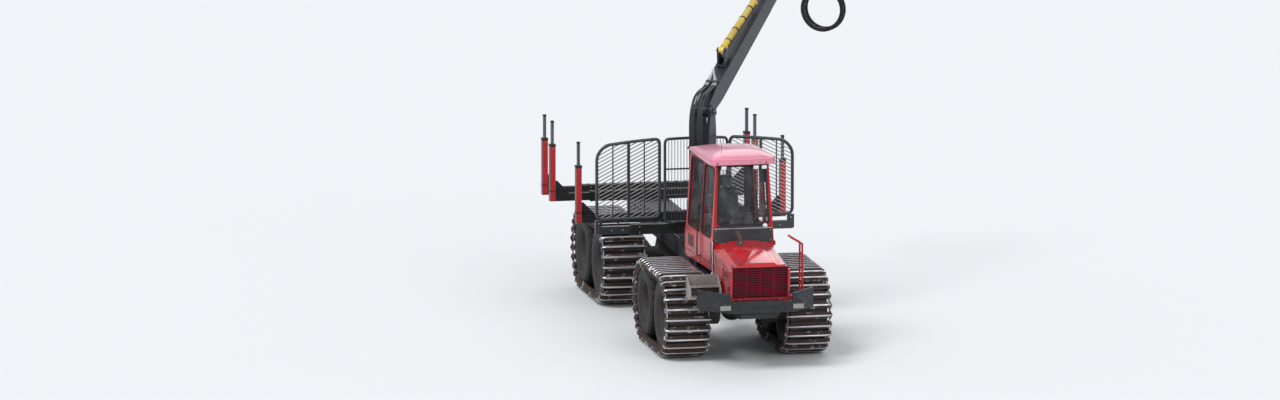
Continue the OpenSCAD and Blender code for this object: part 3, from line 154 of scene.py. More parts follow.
def make_floor():
    half = FLOOR_SIZE / 2
    mesh = bpy.data.meshes.new("floor")
    mesh.from_pydata([(-half, -half, 0), (half, -half, 0), (half, half, 0), (-half, half, 0)], [], [(0, 1, 2,
        3)])
    floor = bpy.data.objects.new("floor", mesh)
    material = bpy.data.materials.new("floor")
    material.use_nodes = True
    shader = material.node_tree.nodes["Principled BSDF"]
    shader.inputs["Base Color"].default_value = FLOOR_COLOUR
    shader.inputs["Roughness"].default_value = 0.9
    mesh.materials.append(material)
    bpy.context.scene.collection.objects.link(floor)


def make_studio():
    bpy.context.scene.view_settings.view_transform = "Standard"
    make_camera()
    make_world()
    make_floor()
    make_sun("key_light", 30, 55, 1.9, 25)
    make_sun("front_light", 110, 30, 0.8, 40)
    make_sun("back_light", 250, 40, 0.6, 40)


# Materials

class Tree:
    """A material's node tree, with short calls for the nodes that the finishes share."""

    def __init__(self, name):
        self.material = bpy.data.materials.new(name)
        self.material.use_nodes = True
        self.nodes = self.material.node_tree.nodes
        self.links = self.material.node_tree.links
        self.shader = self.nodes["Principled BSDF"]
        place = self.nodes.new("ShaderNodeTexCoord")
        self.place = place.outputs["Object"]
        self.normal = place.outputs["Normal"]

    def put(self, socket, value):
        if isinstance(value, bpy.types.NodeSocket):
            self.links.new(value, socket)
        elif isinstance(value, (tuple, list)) and len(value) == 3 and socket.type == "RGBA":
            socket.default_value = (*value, 1)
        else:
            socket.default_value = value

    def add(self, kind, inputs, output=0, **settings):
        node = self.nodes.new(kind)
        for key, value in settings.items():
            setattr(node, key, value)
        for key, value in inputs.items():
            self.put(node.inputs[key], value)
        return node.outputs[output]

    def math(self, operation, a, b=0.0, clamp=False):
        return self.add("ShaderNodeMath", {0: a, 1: b}, operation=operation, use_clamp=clamp)

    def noise(self, scale, detail=4.0, stretch=None):
        vector = self.place
        if stretch:
            vector = self.add("ShaderNodeVectorMath", {0: vector, 1: stretch}, operation="MULTIPLY")
        return self.add("ShaderNodeTexNoise", {"Vector": vector, "Scale": scale, "Detail": detail})

    def ramp(self, value, low, high, to_low=0.0, to_high=1.0):
        inputs = {"Value": value, "From Min": low, "From Max": high, "To Min": to_low, "To Max": to_high}
        return self.add("ShaderNodeMapRange", inputs, interpolation_type="SMOOTHSTEP")

    def mix(self, share, a, b):
        node = self.nodes.new("ShaderNodeMix")
        node.data_type = "RGBA"
        self.put(node.inputs[0], share)
        self.put(node.inputs[6], a)
        self.put(node.inputs[7], b)
        return node.outputs[2]

    def part(self, vector, axis):
        return self.add("ShaderNodeSeparateXYZ", {0: vector}, output="XYZ".index(axis))

    def edges(self, radius):
        """How near a point is to an edge, from the difference of the rounded and the true normal."""
        rounded = self.add("ShaderNodeBevel", {"Radius": radius}, samples=4)
        true = self.add("ShaderNodeNewGeometry", {}, output="True Normal")
        same = self.add("ShaderNodeVectorMath", {0: rounded, 1: true}, output="Value",
            operation="DOT_PRODUCT")
        return self.math("SUBTRACT", 1.0, same, clamp=True)

    def bump(self, height, distance, strength=1.0):
        inputs = {"Height": height, "Distance": distance, "Strength": strength}
        self.put(self.shader.inputs["Normal"], self.add("ShaderNodeBump", inputs))

    def shade(self, **values):
        for key, value in values.items():
            self.put(self.shader.inputs[key.replace("_", " ").title().replace("Ior", "IOR")], value)


def dulled(colour, share):
    grey = sum(colour) / 3
    return tuple(c + (grey - c) * share for c in colour)


def weathered(name, colour, roughness=0.42, metallic=0.0, coat=0.0, dust=0.35, mud_top=1.5, mud=0.8,
              wear=0.5, worn=(0.3, 0.3, 0.31), grain=0.0006, fade=0.16, gloss=0.5):
    """Painted or bare metal with blotches, dust on what faces up, mud near the ground and worn edges."""
    t = Tree(name)
    blotch = t.noise(1.7, 5)
    spots = t.noise(13, 5)
    fine = t.noise(160, 3)
    light = tuple(min(1, c * (1 + fade) + 0.002) for c in colour)
    dark = tuple(c * (1 - fade) for c in dulled(colour, 0.12))
    paint = t.mix(t.ramp(blotch, 0.3, 0.7), dark, light)
    paint = t.mix(t.ramp(spots, 0.56, 0.74, 0, 0.35), paint, dulled(dark, 0.3))
    up = t.ramp(t.part(t.normal, "Z"), 0.35, 0.98)
    dusty = t.math("MULTIPLY", up, t.ramp(spots, 0.3, 0.7, 0.25, 1.0))
    dusty = t.math("MULTIPLY", dusty, dust)
    streaks = t.noise(5, 4, stretch=(1.0, 1.0, 0.12))
    dusty = t.math("MAXIMUM", dusty, t.ramp(streaks, 0.52, 0.8, 0, dust * 0.6))
    height = t.math("ADD", t.part(t.place, "Z"), t.math("MULTIPLY", blotch, -1.3))
    low = t.ramp(height, mud_top - 1.35, mud_top - 0.35, 1.0, 0.0)
    muddy = t.math("MULTIPLY", low, t.ramp(spots, 0.36, 0.6, 0.15, 1.0))
    muddy = t.math("MULTIPLY", muddy, mud)
    chips = t.ramp(t.edges(0.012), 0.03, 0.22)
    chips = t.math("MULTIPLY", chips, t.ramp(t.noise(34, 4), 0.42, 0.6))
    chips = t.math("MULTIPLY", chips, wear)
    look = t.mix(dusty, paint, t.mix(spots, LINEAR["dust"], LINEAR["mud"]))
    look = t.mix(chips, look, worn)
    mud_look = t.mix(t.noise(40, 4), dulled(LINEAR["mud"], 0.2), tuple(c * 0.55 for c in LINEAR["mud"]))
    look = t.mix(muddy, look, mud_look)
    t.shade(Base_Color=look)
    dirt = t.math("MAXIMUM", muddy, dusty)
    rough = t.math("ADD", t.ramp(fine, 0.3, 0.7, roughness - 0.06, roughness + 0.08), t.math("MULTIPLY", dirt,
        0.45))
    t.shade(Roughness=t.math("MINIMUM", rough, 0.95))
    t.shade(Metallic=metallic, Specular_IOR_Level=gloss)
    if coat:
        t.shade(Coat_Weight=coat, Coat_Roughness=0.12)
    relief = t.math("ADD", t.math("MULTIPLY", fine, 0.25), t.math("MULTIPLY", t.math("MULTIPLY", muddy,
        spots), 3.0))
    t.bump(relief, grain)
    return t.material


def rubber(name, colour, mud):
    t = Tree(name)
    blotch = t.noise(3.0, 5)
    grains = t.noise(70, 5)
    brown = t.mix(grains, (0.05, 0.03, 0.026), (0.026, 0.018, 0.017))
    t.shade(Base_Color=t.mix(t.ramp(blotch, 0.38, 0.62, mud * 0.35, mud), colour, brown))
    t.shade(Roughness=t.ramp(grains, 0.3, 0.7, 0.62, 0.9))
    t.bump(grains, 0.004)
    return t.material


def bare_steel(name, polish, rust):
    """Steel rubbed bright on the ground, with rust and soil left in its hollows."""
    t = Tree(name)
    scratches = t.noise(26, 5, stretch=(1, 0.15, 1))
    patches = t.noise(8, 5)
    bright = t.mix(scratches, (0.38, 0.39, 0.42), (0.66, 0.67, 0.7))
    brown = t.mix(t.noise(60, 4), LINEAR["rust"], (0.055, 0.036, 0.028))
    share = t.ramp(patches, 0.52 - rust * 0.3, 0.72 - rust * 0.3, 0, min(1, rust * 1.6))
    t.shade(Base_Color=t.mix(share, bright, brown))
    t.shade(Metallic=t.math("SUBTRACT", polish, t.math("MULTIPLY", share, polish), clamp=True))
    t.shade(Roughness=t.math("ADD", 0.3, t.math("MULTIPLY", share, 0.55)))
    t.bump(t.math("ADD", scratches, patches), 0.0018)
    return t.material


def polished(name, colour, roughness, metallic=1.0):
    t = Tree(name)
    scratches = t.noise(90, 3, stretch=(0.2, 1, 1))
    t.shade(Base_Color=t.mix(scratches, tuple(c * 0.82 for c in colour), colour))
    t.shade(Roughness=t.ramp(t.noise(12, 3), 0.3, 0.7, roughness, roughness + 0.12))
    t.shade(Metallic=metallic)
    t.bump(scratches, 0.0003)
    return t.material


def glass(name):
    t = Tree(name)
    film = t.noise(3.5, 5)
    t.shade(Base_Color=t.mix(t.ramp(film, 0.45, 0.75), (0.1, 0.12, 0.13), (0.3, 0.31, 0.31)))
    t.shade(Alpha=t.ramp(film, 0.4, 0.8, 0.07, 0.16))
    t.shade(Roughness=t.ramp(film, 0.35, 0.75, 0.03, 0.14))
    t.shade(Coat_Weight=0.15, Coat_Roughness=0.03)
    t.bump(t.noise(1.2, 2), 0.0002)
    return t.material


def lens(name, colour):
    t = Tree(name)
    ribs = t.add("ShaderNodeTexVoronoi", {"Vector": t.place, "Scale": 90.0})
    t.shade(Base_Color=t.mix(ribs, colour, tuple(c * 0.8 for c in colour)))
    t.shade(Roughness=0.12, Coat_Weight=0.8)
    t.bump(ribs, 0.002)
    return t.material


def cloth(name, colour):
    t = Tree(name)
    weave_x = t.add("ShaderNodeTexWave", {"Vector": t.place, "Scale": 130.0, "Distortion": 0.6}, output=1)
    weave_y = t.add("ShaderNodeTexWave", {"Vector": t.place, "Scale": 130.0, "Distortion": 0.6}, output=1,
        bands_direction="Z")
    weave = t.math("MULTIPLY", weave_x, weave_y)
    worn = t.noise(6, 4)
    t.shade(Base_Color=t.mix(worn, colour, tuple(c * 1.7 + 0.01 for c in colour)))
    t.shade(Roughness=t.ramp(weave, 0, 1, 0.95, 0.8))
    t.shade(Sheen_Weight=0.35)
    t.bump(weave, 0.0012)
    return t.material


def plastic(name, colour, roughness=0.5):
    t = Tree(name)
    grain = t.noise(320, 2)
    shade = t.noise(4, 4)
    t.shade(Base_Color=t.mix(shade, colour, tuple(c * 1.5 + 0.004 for c in colour)))
    t.shade(Roughness=t.ramp(shade, 0.3, 0.7, roughness, roughness + 0.2))
    t.bump(grain, 0.0005)
    return t.material


def finned(name, colour, scale):
    t = Tree(name)
    fins = t.add("ShaderNodeTexWave", {"Vector": t.place, "Scale": scale / 6.28}, output=1,
        bands_direction="Z")
    tubes = t.add("ShaderNodeTexWave", {"Vector": t.place, "Scale": 12.0}, output=1, bands_direction="Y")
    # The darker fin bands are painted shade in the gaps between the fins.
    t.shade(Base_Color=t.mix(fins, tuple(c * 0.3 for c in colour), t.mix(tubes, colour, LINEAR["mud"])))
    t.shade(Roughness=t.ramp(t.noise(9, 4), 0.3, 0.7, 0.5, 0.85))
    t.bump(fins, 0.002)
    return t.material


RED = weathered("red_paint", LINEAR["red"], roughness=0.26, coat=0.22, dust=0.02, mud_top=1.55, mud=0.4,
    wear=0.12, fade=0.12, gloss=0.2)
HOOD_RED = weathered("hood_paint", LINEAR["red"], roughness=0.18, coat=0.85, dust=0.02, mud_top=1.45,
    mud=0.35, wear=0.1, gloss=0.3)
PINK = weathered("roof_paint", LINEAR["pink"], roughness=0.26, coat=0.5, dust=0.07, mud=0.0, wear=0.1,
    fade=0.07)
GRILLE_RED = weathered("grille_paint", LINEAR["deep_red"], roughness=0.62, dust=0.02, mud_top=1.3, mud=0.2,
    wear=0.0, gloss=0.12)
STAKE_RED = weathered("stake_paint", dulled(LINEAR["red"], 0.12), roughness=0.45, dust=0.1, mud=0.0, wear=0.5,
    gloss=0.25)
FRAME_PAINT = weathered("frame_paint", LINEAR["blue_grey"], roughness=0.46, dust=0.12, mud_top=1.5, mud=0.3,
    wear=0.3, gloss=0.32)
CRANE_PAINT = weathered("crane_paint", LINEAR["blue_grey"], roughness=0.42, coat=0.1, dust=0.05, mud=0.0,
    wear=0.5, gloss=0.32)
BLACK_PAINT = weathered("black_paint", LINEAR["black"], roughness=0.5, dust=0.1, mud_top=1.5, mud=0.3,
    wear=0.3, gloss=0.32)
CASTING = weathered("casting", (0.034, 0.033, 0.034), roughness=0.7, dust=0.25, mud_top=1.7, mud=0.6,
    wear=0.3)
MUDDY = weathered("muddy_casting", (0.27, 0.245, 0.225), roughness=0.85, dust=0.25, mud_top=1.6, mud=0.25,
    wear=0.0, grain=0.012, fade=0.35)
YELLOW = weathered("yellow_paint", LINEAR["yellow"], roughness=0.38, coat=0.2, dust=0.2, mud=0.0, wear=0.5)
RUBBER = rubber("tyre_rubber", LINEAR["rubber"], 0.6)
SIDEWALL = rubber("tyre_sidewall", (0.02, 0.02, 0.023), 0.22)
RIM = weathered("rim_paint", (0.03, 0.026, 0.026), roughness=0.6, dust=0.3, mud_top=1.9, mud=0.8)
BAR_STEEL = bare_steel("bar_steel", 0.9, 0.12)
PLATE_STEEL = bare_steel("plate_steel", 0.6, 0.95)
LINK_STEEL = bare_steel("link_steel", 0.8, 0.55)
CHROME = polished("rod_chrome", (0.72, 0.73, 0.75), 0.12)
ZINC = polished("zinc", (0.5, 0.51, 0.52), 0.32)
GLASS = glass("window_glass")
LAMP_GLASS = lens("lamp_lens", (0.8, 0.82, 0.84))
DULL_LENS = lens("dull_lens", (0.27, 0.26, 0.245))
RED_LENS = lens("red_lens", (0.42, 0.01, 0.01))
AMBER_LENS = lens("amber_lens", (0.62, 0.16, 0.01))
SEAT_CLOTH = cloth("seat_cloth", LINEAR["cloth"])
BLACK_PLASTIC = plastic("black_plastic", (0.017, 0.018, 0.02))
GREY_PLASTIC = plastic("grey_plastic", (0.11, 0.12, 0.13))
EXHAUST = weathered("exhaust_steel", (0.06, 0.036, 0.03), roughness=0.6, dust=0.15, mud=0.0, wear=0.2,
    fade=0.5)
RADIATOR = finned("radiator_core", (0.03, 0.031, 0.033), 260.0)
SCREEN_GLASS = plastic("screen_glass", (0.012, 0.016, 0.022), 0.1)
WHITE_HOSE = plastic("pale_hose", (0.55, 0.56, 0.57), 0.45)
HEADBOARD_PAINT = weathered("headboard_paint", (0.022, 0.026, 0.033), roughness=0.36, coat=0.3, dust=0.25,
    mud=0.0)
SLAT_STEEL = weathered("slat_steel", (0.34, 0.32, 0.33), roughness=0.38, metallic=0.5, dust=0.3, mud=0.0,
    wear=0.8)
STAKE_GREY = weathered("stake_grey", (0.075, 0.08, 0.09), roughness=0.45, dust=0.35, mud=0.0, wear=1.0)
PIPE_STEEL = polished("pipe_steel", (0.62, 0.64, 0.67), 0.28, metallic=0.85)
DARK_PANEL = plastic("dark_panel", (0.022, 0.026, 0.032), 0.42)
SEAL = plastic("seal_rubber", (0.01, 0.01, 0.011), 0.65)
HOSE = plastic("hose_rubber", (0.02, 0.021, 0.024), 0.38)


# Making meshes

WORLD = Matrix.Identity(4)
UP = (0, 0, 1)
AHEAD = (1, 0, 0)
SIDES = (-1, 1)


def turn(axis, degrees):
    return Matrix.Rotation(math.radians(degrees), 4, axis)


def move(x, y=None, z=None):
    return Matrix.Translation(Vector(x) if y is None else Vector((x, y, z)))


def on(at, points):
    return [at @ Vector(p) for p in points]


def span(middle, half):
    return middle - half, middle + half


def circle(count, radius, height=0.0, shift=0.0):
    """Points spaced evenly round the Z axis."""
    angles = [math.tau * (k + shift) / count for k in range(count)]
    return [(radius * math.cos(a), radius * math.sin(a), height) for a in angles]


def tube_faces(rings, count):
    """The sides and ends of a tube whose points come ring by ring."""
    sides = [
        (i * count + k, i * count + (k + 1) % count, (i + 1) * count + (k + 1) % count, (i + 1) * count + k)
        for i in range(rings - 1) for k in range(count)
    ]
    last = (rings - 1) * count
    return [*sides, tuple(range(count))[::-1], tuple(range(last, last + count))]


def facing(place, direction, up=UP):
    """A frame at place whose Z axis points along direction and whose Y axis is nearest to up."""
    z = Vector(direction).normalized()
    x = Vector(up).cross(z)
    if x.length < 1e-4:
        x = Vector((1, 0, 0)).cross(z)
    x.normalize()
    y = z.cross(x)
    return move(place) @ Matrix((x, y, z)).transposed().to_4x4()


def curve_through(points, steps=8):
    """A smooth line through the points."""
    ends = [Vector(points[0]) * 2 - Vector(points[1]), *map(Vector, points)]
    ends.append(Vector(points[-1]) * 2 - Vector(points[-2]))
    line = []
    for a, b, c, d in zip(ends, ends[1:], ends[2:], ends[3:]):
        for i in range(steps):
            t = i / steps
            square, cube = 2 * a - 5 * b + 4 * c - d, 3 * b - a - 3 * c + d
            line.append(0.5 * (2 * b + (c - a) * t + square * t * t + cube * t ** 3))
    return [*line, Vector(points[-1])]


def rounded(points, radius, steps=4):
    """An outline with its corners rounded."""
    line = []
    count = len(points)
    for i, p in enumerate(points):
        p = Vector(p)
        before = Vector(points[i - 1]) - p
        after = Vector(points[(i + 1) % count]) - p
        a = p + before.normalized() * min(radius, before.length * 0.45)
        b = p + after.normalized() * min(radius, after.length * 0.45)
        for k in range(steps + 1):
            t = k / steps
            line.append((1 - t) ** 2 * a + 2 * t * (1 - t) * p + t * t * b)
    return line


def place_mesh(name, mesh):
    piece = bpy.data.objects.new(name, mesh)
    bpy.context.scene.collection.objects.link(piece)
    return piece


class Piece:
    """One object in the making. Places and ways are in its frame, and at is in the machine's."""

    def __init__(self, name, frame=WORLD):
        self.name, self.frame = name, frame
        self.points, self.faces, self.paint, self.materials = [], [], [], []

    def aim(self, place, way):
        """A frame of the machine, at a place, whose Z axis points a way."""
        return facing(self.frame @ Vector(place), self.frame.to_3x3() @ Vector(way))

    def add(self, points, faces, material, at=None):
        start = len(self.points)
        at = at or self.frame
        flip = at.to_3x3().determinant() < 0
        self.points += on(at, points)
        if material not in self.materials:
            self.materials.append(material)
        for face in faces:
            ring = [start + i for i in face]
            self.faces.append(ring[::-1] if flip else ring)
            self.paint.append(self.materials.index(material))

    def box(self, xs, ys, zs, material, at=None):
        points = [(x, y, z) for x in sorted(xs) for y in sorted(ys) for z in sorted(zs)]
        sides = [(0, 1, 3, 2), (4, 6, 7, 5), (0, 4, 5, 1), (2, 3, 7, 6), (0, 2, 6, 4), (1, 5, 7, 3)]
        self.add(points, sides, material, at)

    def plate(self, outline, low, high, material, at=None):
        """An outline in the XY plane, anticlockwise, from z low to high."""
        self.add([(p[0], p[1], z) for z in (low, high) for p in outline], tube_faces(2, len(outline)),
            material, at)

    def lathe(self, profile, material, at=None, steps=32, closed=False):
        """A profile of (radius, height) turned about Z, from its lower to its upper end."""
        rings = len(profile)
        points = [
            (r * math.cos(math.tau * i / steps), r * math.sin(math.tau * i / steps), z)
            for i in range(steps) for r, z in profile
        ]
        faces = []
        for i in range(steps):
            a, b = i * rings, (i + 1) % steps * rings
            faces += [(a + k, b + k, b + k + 1, a + k + 1) for k in range(rings - 1)]
            if closed:
                faces.append((a + rings - 1, b + rings - 1, b, a))
        if not closed:
            faces.append(tuple(i * rings for i in range(steps))[::-1])
            faces.append(tuple(i * rings + rings - 1 for i in range(steps)))
        self.add(points, faces, material, at)

    def ring(self, profile, material, place, way, steps=32, closed=False):
        self.lathe(profile, material, self.aim(place, way), steps, closed)

    def rod(self, start, end, radius, material, steps=16):
        start, end = on(self.frame, (start, end))
        self.lathe([(radius, 0), (radius, (end - start).length)], material, facing(start, end - start), steps)

    def pipe(self, line, radius, material, steps=10):
        """A round tube along a line of points, with closed ends."""
        line = on(self.frame, line)
        ahead = [(b - a).normalized() for a, b in zip(line, line[1:])]
        side = ahead[0].orthogonal().normalized()
        points = []
        for i, p in enumerate(line):
            way = ahead[min(i, len(ahead) - 1)]
            if 0 < i < len(ahead):
                way = (ahead[i - 1] + ahead[i]).normalized()
            side = (side - way * side.dot(way)).normalized()
            up = way.cross(side)
            points += [p + radius * (side * x + up * y) for x, y, _ in circle(steps, 1)]
        self.add(points, tube_faces(len(line), steps), material, WORLD)

    def bolt(self, place, way, radius, material):
        """A hex head on a washer."""
        at = self.aim(place, way)
        self.lathe([(radius * 1.25, 0), (radius * 1.2, radius * 0.22)], material, at, 16)
        self.lathe([(radius, radius * 0.2), (radius, radius * 0.85), (radius * 0.8, radius)], material, at, 6)

    def bolts(self, places, way, radius, material):
        for place in places:
            self.bolt(place, way, radius, material)

    def finish(self, node, bevel=0.0, segments=1, angle=38, replaces=False):
        """Makes the object, which rides on the node's body."""
        mesh = bpy.data.meshes.new(self.name)
        mesh.from_pydata([p[:] for p in self.points], [], self.faces)
        for material in self.materials:
            mesh.materials.append(material)
        mesh.polygons.foreach_set("material_index", self.paint)
        mesh.polygons.foreach_set("use_smooth", [True] * len(mesh.polygons))
        mesh.update()
        mesh.set_sharp_from_angle(angle=math.radians(angle))
        piece = place_mesh(self.name, mesh)
        if bevel:
            round_edges(piece, bevel, segments)
        if node:
            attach(piece, body_of(node))
        if replaces:
            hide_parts(node)
        return piece

    def blend(self, node, other, start, end, angle=60):
        """Makes the object with its transform baked in, riding on no body."""
        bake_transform(self.finish(None, angle=angle))


EDGE_ANGLE = math.radians(40)
SHARP_ANGLE = math.radians(32)
FLAT_ANGLE = math.radians(0.6)
WELD_DISTANCE = 2e-5


def round_edges(piece, width, segments=2):
    bevel = piece.modifiers.new("edges", "BEVEL")
    bevel.width = width
    bevel.segments = segments
    bevel.limit_method = "ANGLE"
    bevel.angle_limit = EDGE_ANGLE
    bevel.harden_normals = True


def body_of(node):
    return NODES[node].get("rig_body")


def dress(node, material, bevel=0.004, choose=None, others=()):
    """Replaces a node by a copy with rounded edges. choose gives the number of a face's material."""
    mesh = bpy.data.meshes.new(node + "_finished")
    shape = bmesh.new()
    shape.from_mesh(NODES[node].data)
    bmesh.ops.remove_doubles(shape, verts=shape.verts, dist=WELD_DISTANCE)
    bmesh.ops.dissolve_limit(
        shape, angle_limit=FLAT_ANGLE, verts=shape.verts, edges=shape.edges, delimit={"NORMAL"}
    )
    for face in shape.faces:
        face.smooth = True
        face.material_index = choose(face) if choose else 0
    shape.to_mesh(mesh)
    shape.free()
    for paint in (material, *others):
        mesh.materials.append(paint)
    mesh.set_sharp_from_angle(angle=SHARP_ANGLE)
    piece = place_mesh(node + "_finished", mesh)
    round_edges(piece, bevel)
    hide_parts(node)
    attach(piece, body_of(node))


# Running gear: tyres, wheels, bogies and the band tracks

WHEEL_BASE = 1.5
TYRE_R = 0.66
RIM_R = 0.336
TRACK_Y = 1.065
PLATE_R = TYRE_R + 0.0303
AXLE_Z = 0.7423
SHOE_COUNT = 41
LUG_COUNT = 22
FRONT_AXLE_X = 1.9
REAR_AXLE_X = -3.6
ARC = math.pi * PLATE_R
LOOP_LENGTH = 2 * WHEEL_BASE + 2 * ARC
TREAD_FRAME = Matrix(((0, 0, 1, 0), (1, 0, 0, 0), (0, 1, 0, 0), (0, 0, 0, 1)))


def loop_frame(along, axle_x, track_y):
    """The frame of a shoe: X along the loop, Y across it, Z outwards, at the plates' outer side."""
    half = WHEEL_BASE / 2
    if along < WHEEL_BASE:
        middle, angle = along - half, -90
    elif along < WHEEL_BASE + ARC:
        middle, angle = half, -90 + math.degrees((along - WHEEL_BASE) / PLATE_R)
    elif along < 2 * WHEEL_BASE + ARC:
        middle, angle = half - (along - WHEEL_BASE - ARC), 90
    else:
        middle, angle = -half, 90 + math.degrees((along - 2 * WHEEL_BASE - ARC) / PLATE_R)
    a = math.radians(angle)
    out = Vector((math.cos(a), 0, math.sin(a)))
    way = Vector((-math.sin(a), 0, math.cos(a)))
    place = Vector((axle_x + middle, track_y, AXLE_Z)) + PLATE_R * out
    return move(place) @ Matrix((way, out.cross(way), out)).transposed().to_4x4()


def cross_bar(piece, at):
    """One shoe: its plate, a ground bar bent in at its ends, two side paddles and their lugs."""
    stations = [(0.405, -0.046, 0.62), (0.375, -0.02, 0.86), (0.325, -0.003, 1.0), (0.11, 0.0, 1.0)]
    stations += [(-v, n, w) for v, n, w in stations[::-1]]
    profile = [(-0.032, -0.012), (-0.017, 0.04), (-0.01, 0.048)]
    profile += [(-u, n) for u, n in profile[::-1]]
    count = len(profile)
    points = [(u * w, v, low + n) for v, low, w in stations for u, n in profile]
    faces = tube_faces(len(stations), count)
    crest = [face for i, face in enumerate(faces[:-2]) if i % count in (1, 2, 3)]
    piece.add(points, crest, BAR_STEEL, at)
    piece.add(points, [face for face in faces if face not in crest], PLATE_STEEL, at)
    plate = [(-0.06, -0.335), (0.06, -0.335), (0.06, 0.335), (-0.06, 0.335)]
    piece.plate(plate, -0.026, -0.01, PLATE_STEEL, at)
    paddle = [(0.07, -0.018), (0.056, -0.078), (0.024, -0.15)]
    paddle += [(-u, n) for u, n in paddle[::-1]]
    lug = [(-0.036, -0.03), (0.036, -0.03), (0.012, 0.022), (-0.012, 0.022)]
    for side in SIDES:
        standing = at @ move(0, side * 0.384, 0) @ turn("X", -side * 9) @ turn("X", 90)
        piece.plate(paddle, -0.011, 0.011, PLATE_STEEL, standing)
        piece.plate(lug, -0.01, 0.012, LINK_STEEL, at @ move(0, side * 0.396, -0.01) @ turn("X", 90))


def track_link(piece, at, side):
    """The chain link that joins a shoe to the next one at one edge of the track."""
    line = []
    for k in range(13):
        a = math.pi * k / 6
        half = 0.026 if math.cos(a) > 0 else -0.026
        line.append((0.046 * math.cos(a) + half, side * 0.366, -0.04 + 0.021 * math.sin(a)))
    piece.pipe(on(at, line), 0.011, LINK_STEEL, 6)
    for u in (-0.05, 0.05):
        piece.rod(*on(at, [(u, side * 0.35, -0.04), (u, side * 0.398, -0.04)]), 0.014, LINK_STEEL, 8)


def make_tracks(node, axle_x):
    shoes = Piece(node + "_shoes")
    links = Piece(node + "_links")
    pitch = LOOP_LENGTH / SHOE_COUNT
    for side in (1, -1):
        for i in range(SHOE_COUNT):
            cross_bar(shoes, loop_frame((i + 0.5) * pitch, axle_x, side * TRACK_Y))
            between = loop_frame((i + 1) * pitch % LOOP_LENGTH, axle_x, side * TRACK_Y)
            for edge in (-1, 1):
                track_link(links, between, edge)
    shoes.finish(node, bevel=0.004, replaces=True)
    links.finish(node)


def make_tyre(piece):
    half = [(RIM_R - 0.004, 0.27), (RIM_R + 0.014, 0.3), (0.4, 0.322), (0.412, 0.331), (0.424, 0.33), (0.47,
        0.343), (0.545, 0.349), (0.553, 0.345), (0.56, 0.348), (0.6, 0.338), (0.63, 0.305), (0.637, 0.25)]
    profile = [(r, -z) for r, z in half] + [(0.641, 0.0)] + half[::-1]
    piece.lathe(profile, SIDEWALL, steps=56, closed=True)
    for i in range(LUG_COUNT):
        for side, shift in ((-1, 0.0), (1, 0.5)):
            lug = [(-0.03, side * 0.015), (0.03, side * 0.015), (0.105, side * 0.318), (0.03, side * 0.318)]
            at = piece.frame @ turn("Z", (i + shift) * 360 / LUG_COUNT) @ TREAD_FRAME
            piece.plate(lug[::side], 0.622, 0.651, RUBBER, at)


def make_wheel(piece):
    """A rim with its disc set deep inside, a planetary hub and their bolts."""
    outer = [(0.0, 0.09), (0.095, 0.09), (0.112, 0.084), (0.138, 0.072), (0.158, 0.058), (0.16, 0.04),
             (0.168, -0.085), (0.182, -0.1), (0.262, -0.108), (0.276, -0.1), (0.29, -0.06), (0.304, 0.1),
             (0.306, 0.245), (0.318, 0.262), (0.322, 0.288), (0.334, 0.296), (0.341, 0.29), (0.3375, 0.262)]
    inner = [(0.3357, -0.262), (0.341, -0.29), (0.334, -0.296), (0.322, -0.29), (0.312, -0.25), (0.274,
        -0.148), (0.0, -0.15)]
    piece.lathe((outer + inner)[::-1], RIM, steps=56)
    piece.bolts(circle(16, 0.222, -0.106), UP, 0.014, BLACK_PAINT)
    piece.bolts(circle(10, 0.126, 0.077, 0.5), (0.1, 0, 1), 0.01, ZINC)
    piece.bolt((0, 0, 0.089), UP, 0.026, ZINC)
    piece.pipe([(0.288, 0, -0.085), (0.28, 0, -0.05), (0.268, 0, -0.02)], 0.006, ZINC, 8)


def make_wheels(unit, axle_x):
    tyres = Piece(unit + "_tyre_set")
    wheels = Piece(unit + "_wheel_set")
    for side in (1, -1):
        for x in (-WHEEL_BASE / 2, WHEEL_BASE / 2):
            tyres.frame = wheels.frame = facing((axle_x + x, side * TRACK_Y, AXLE_Z), (0, side, 0))
            make_tyre(tyres)
            make_wheel(wheels)
    tyres.finish(unit + "_tyres", angle=50, replaces=True)
    wheels.finish(unit + "_wheels", replaces=True)


def bogie_details(unit, axle_x):
    """Flanges, bolts and ribs on the gear cases."""
    piece = Piece(unit + "_bogie_details")
    case_in, case_out = 0.41, 0.62
    for side in (1, -1):
        for x in (-WHEEL_BASE / 2, 0, WHEEL_BASE / 2):
            radius = 0.165 if x else 0.21
            flange = [(radius, -0.002), (radius, 0.014), (radius - 0.01, 0.018)]
            for y, way in ((case_out, side), (case_in, -side)):
                if x or way != side:
                    piece.ring(flange, CASTING, (axle_x + x, side * y, AXLE_Z), (0, way, 0))
                round_flange = [(axle_x + x + u, side * y + way * 0.017, AXLE_Z + w) for u, w, _ in circle(12,
                    radius - 0.022)]
                piece.bolts(round_flange, (0, way, 0), 0.01, BLACK_PAINT)
        for x in (axle_x - 0.42, axle_x + 0.42):
            piece.box(span(x, 0.012), (side * case_in - 0.004, side * case_out + 0.004), (AXLE_Z - 0.19,
                AXLE_Z + 0.222), CASTING)
            column = [(x + 0.03, side * (case_out + 0.001), AXLE_Z - 0.15 + i * 0.075) for i in range(5)]
            piece.bolts(column, (0, side, 0), 0.008, ZINC)
    piece.finish(unit + "_bogies", bevel=0.002)


def running_gear():
    for unit, axle_x in (("front", FRONT_AXLE_X), ("rear", REAR_AXLE_X)):
        make_tracks(unit + "_tracks", axle_x)
        make_wheels(unit, axle_x)
        dress(unit + "_bogies", CASTING, 0.01)
        bogie_details(unit, axle_x)


# Finishes of the nodes that keep their shape

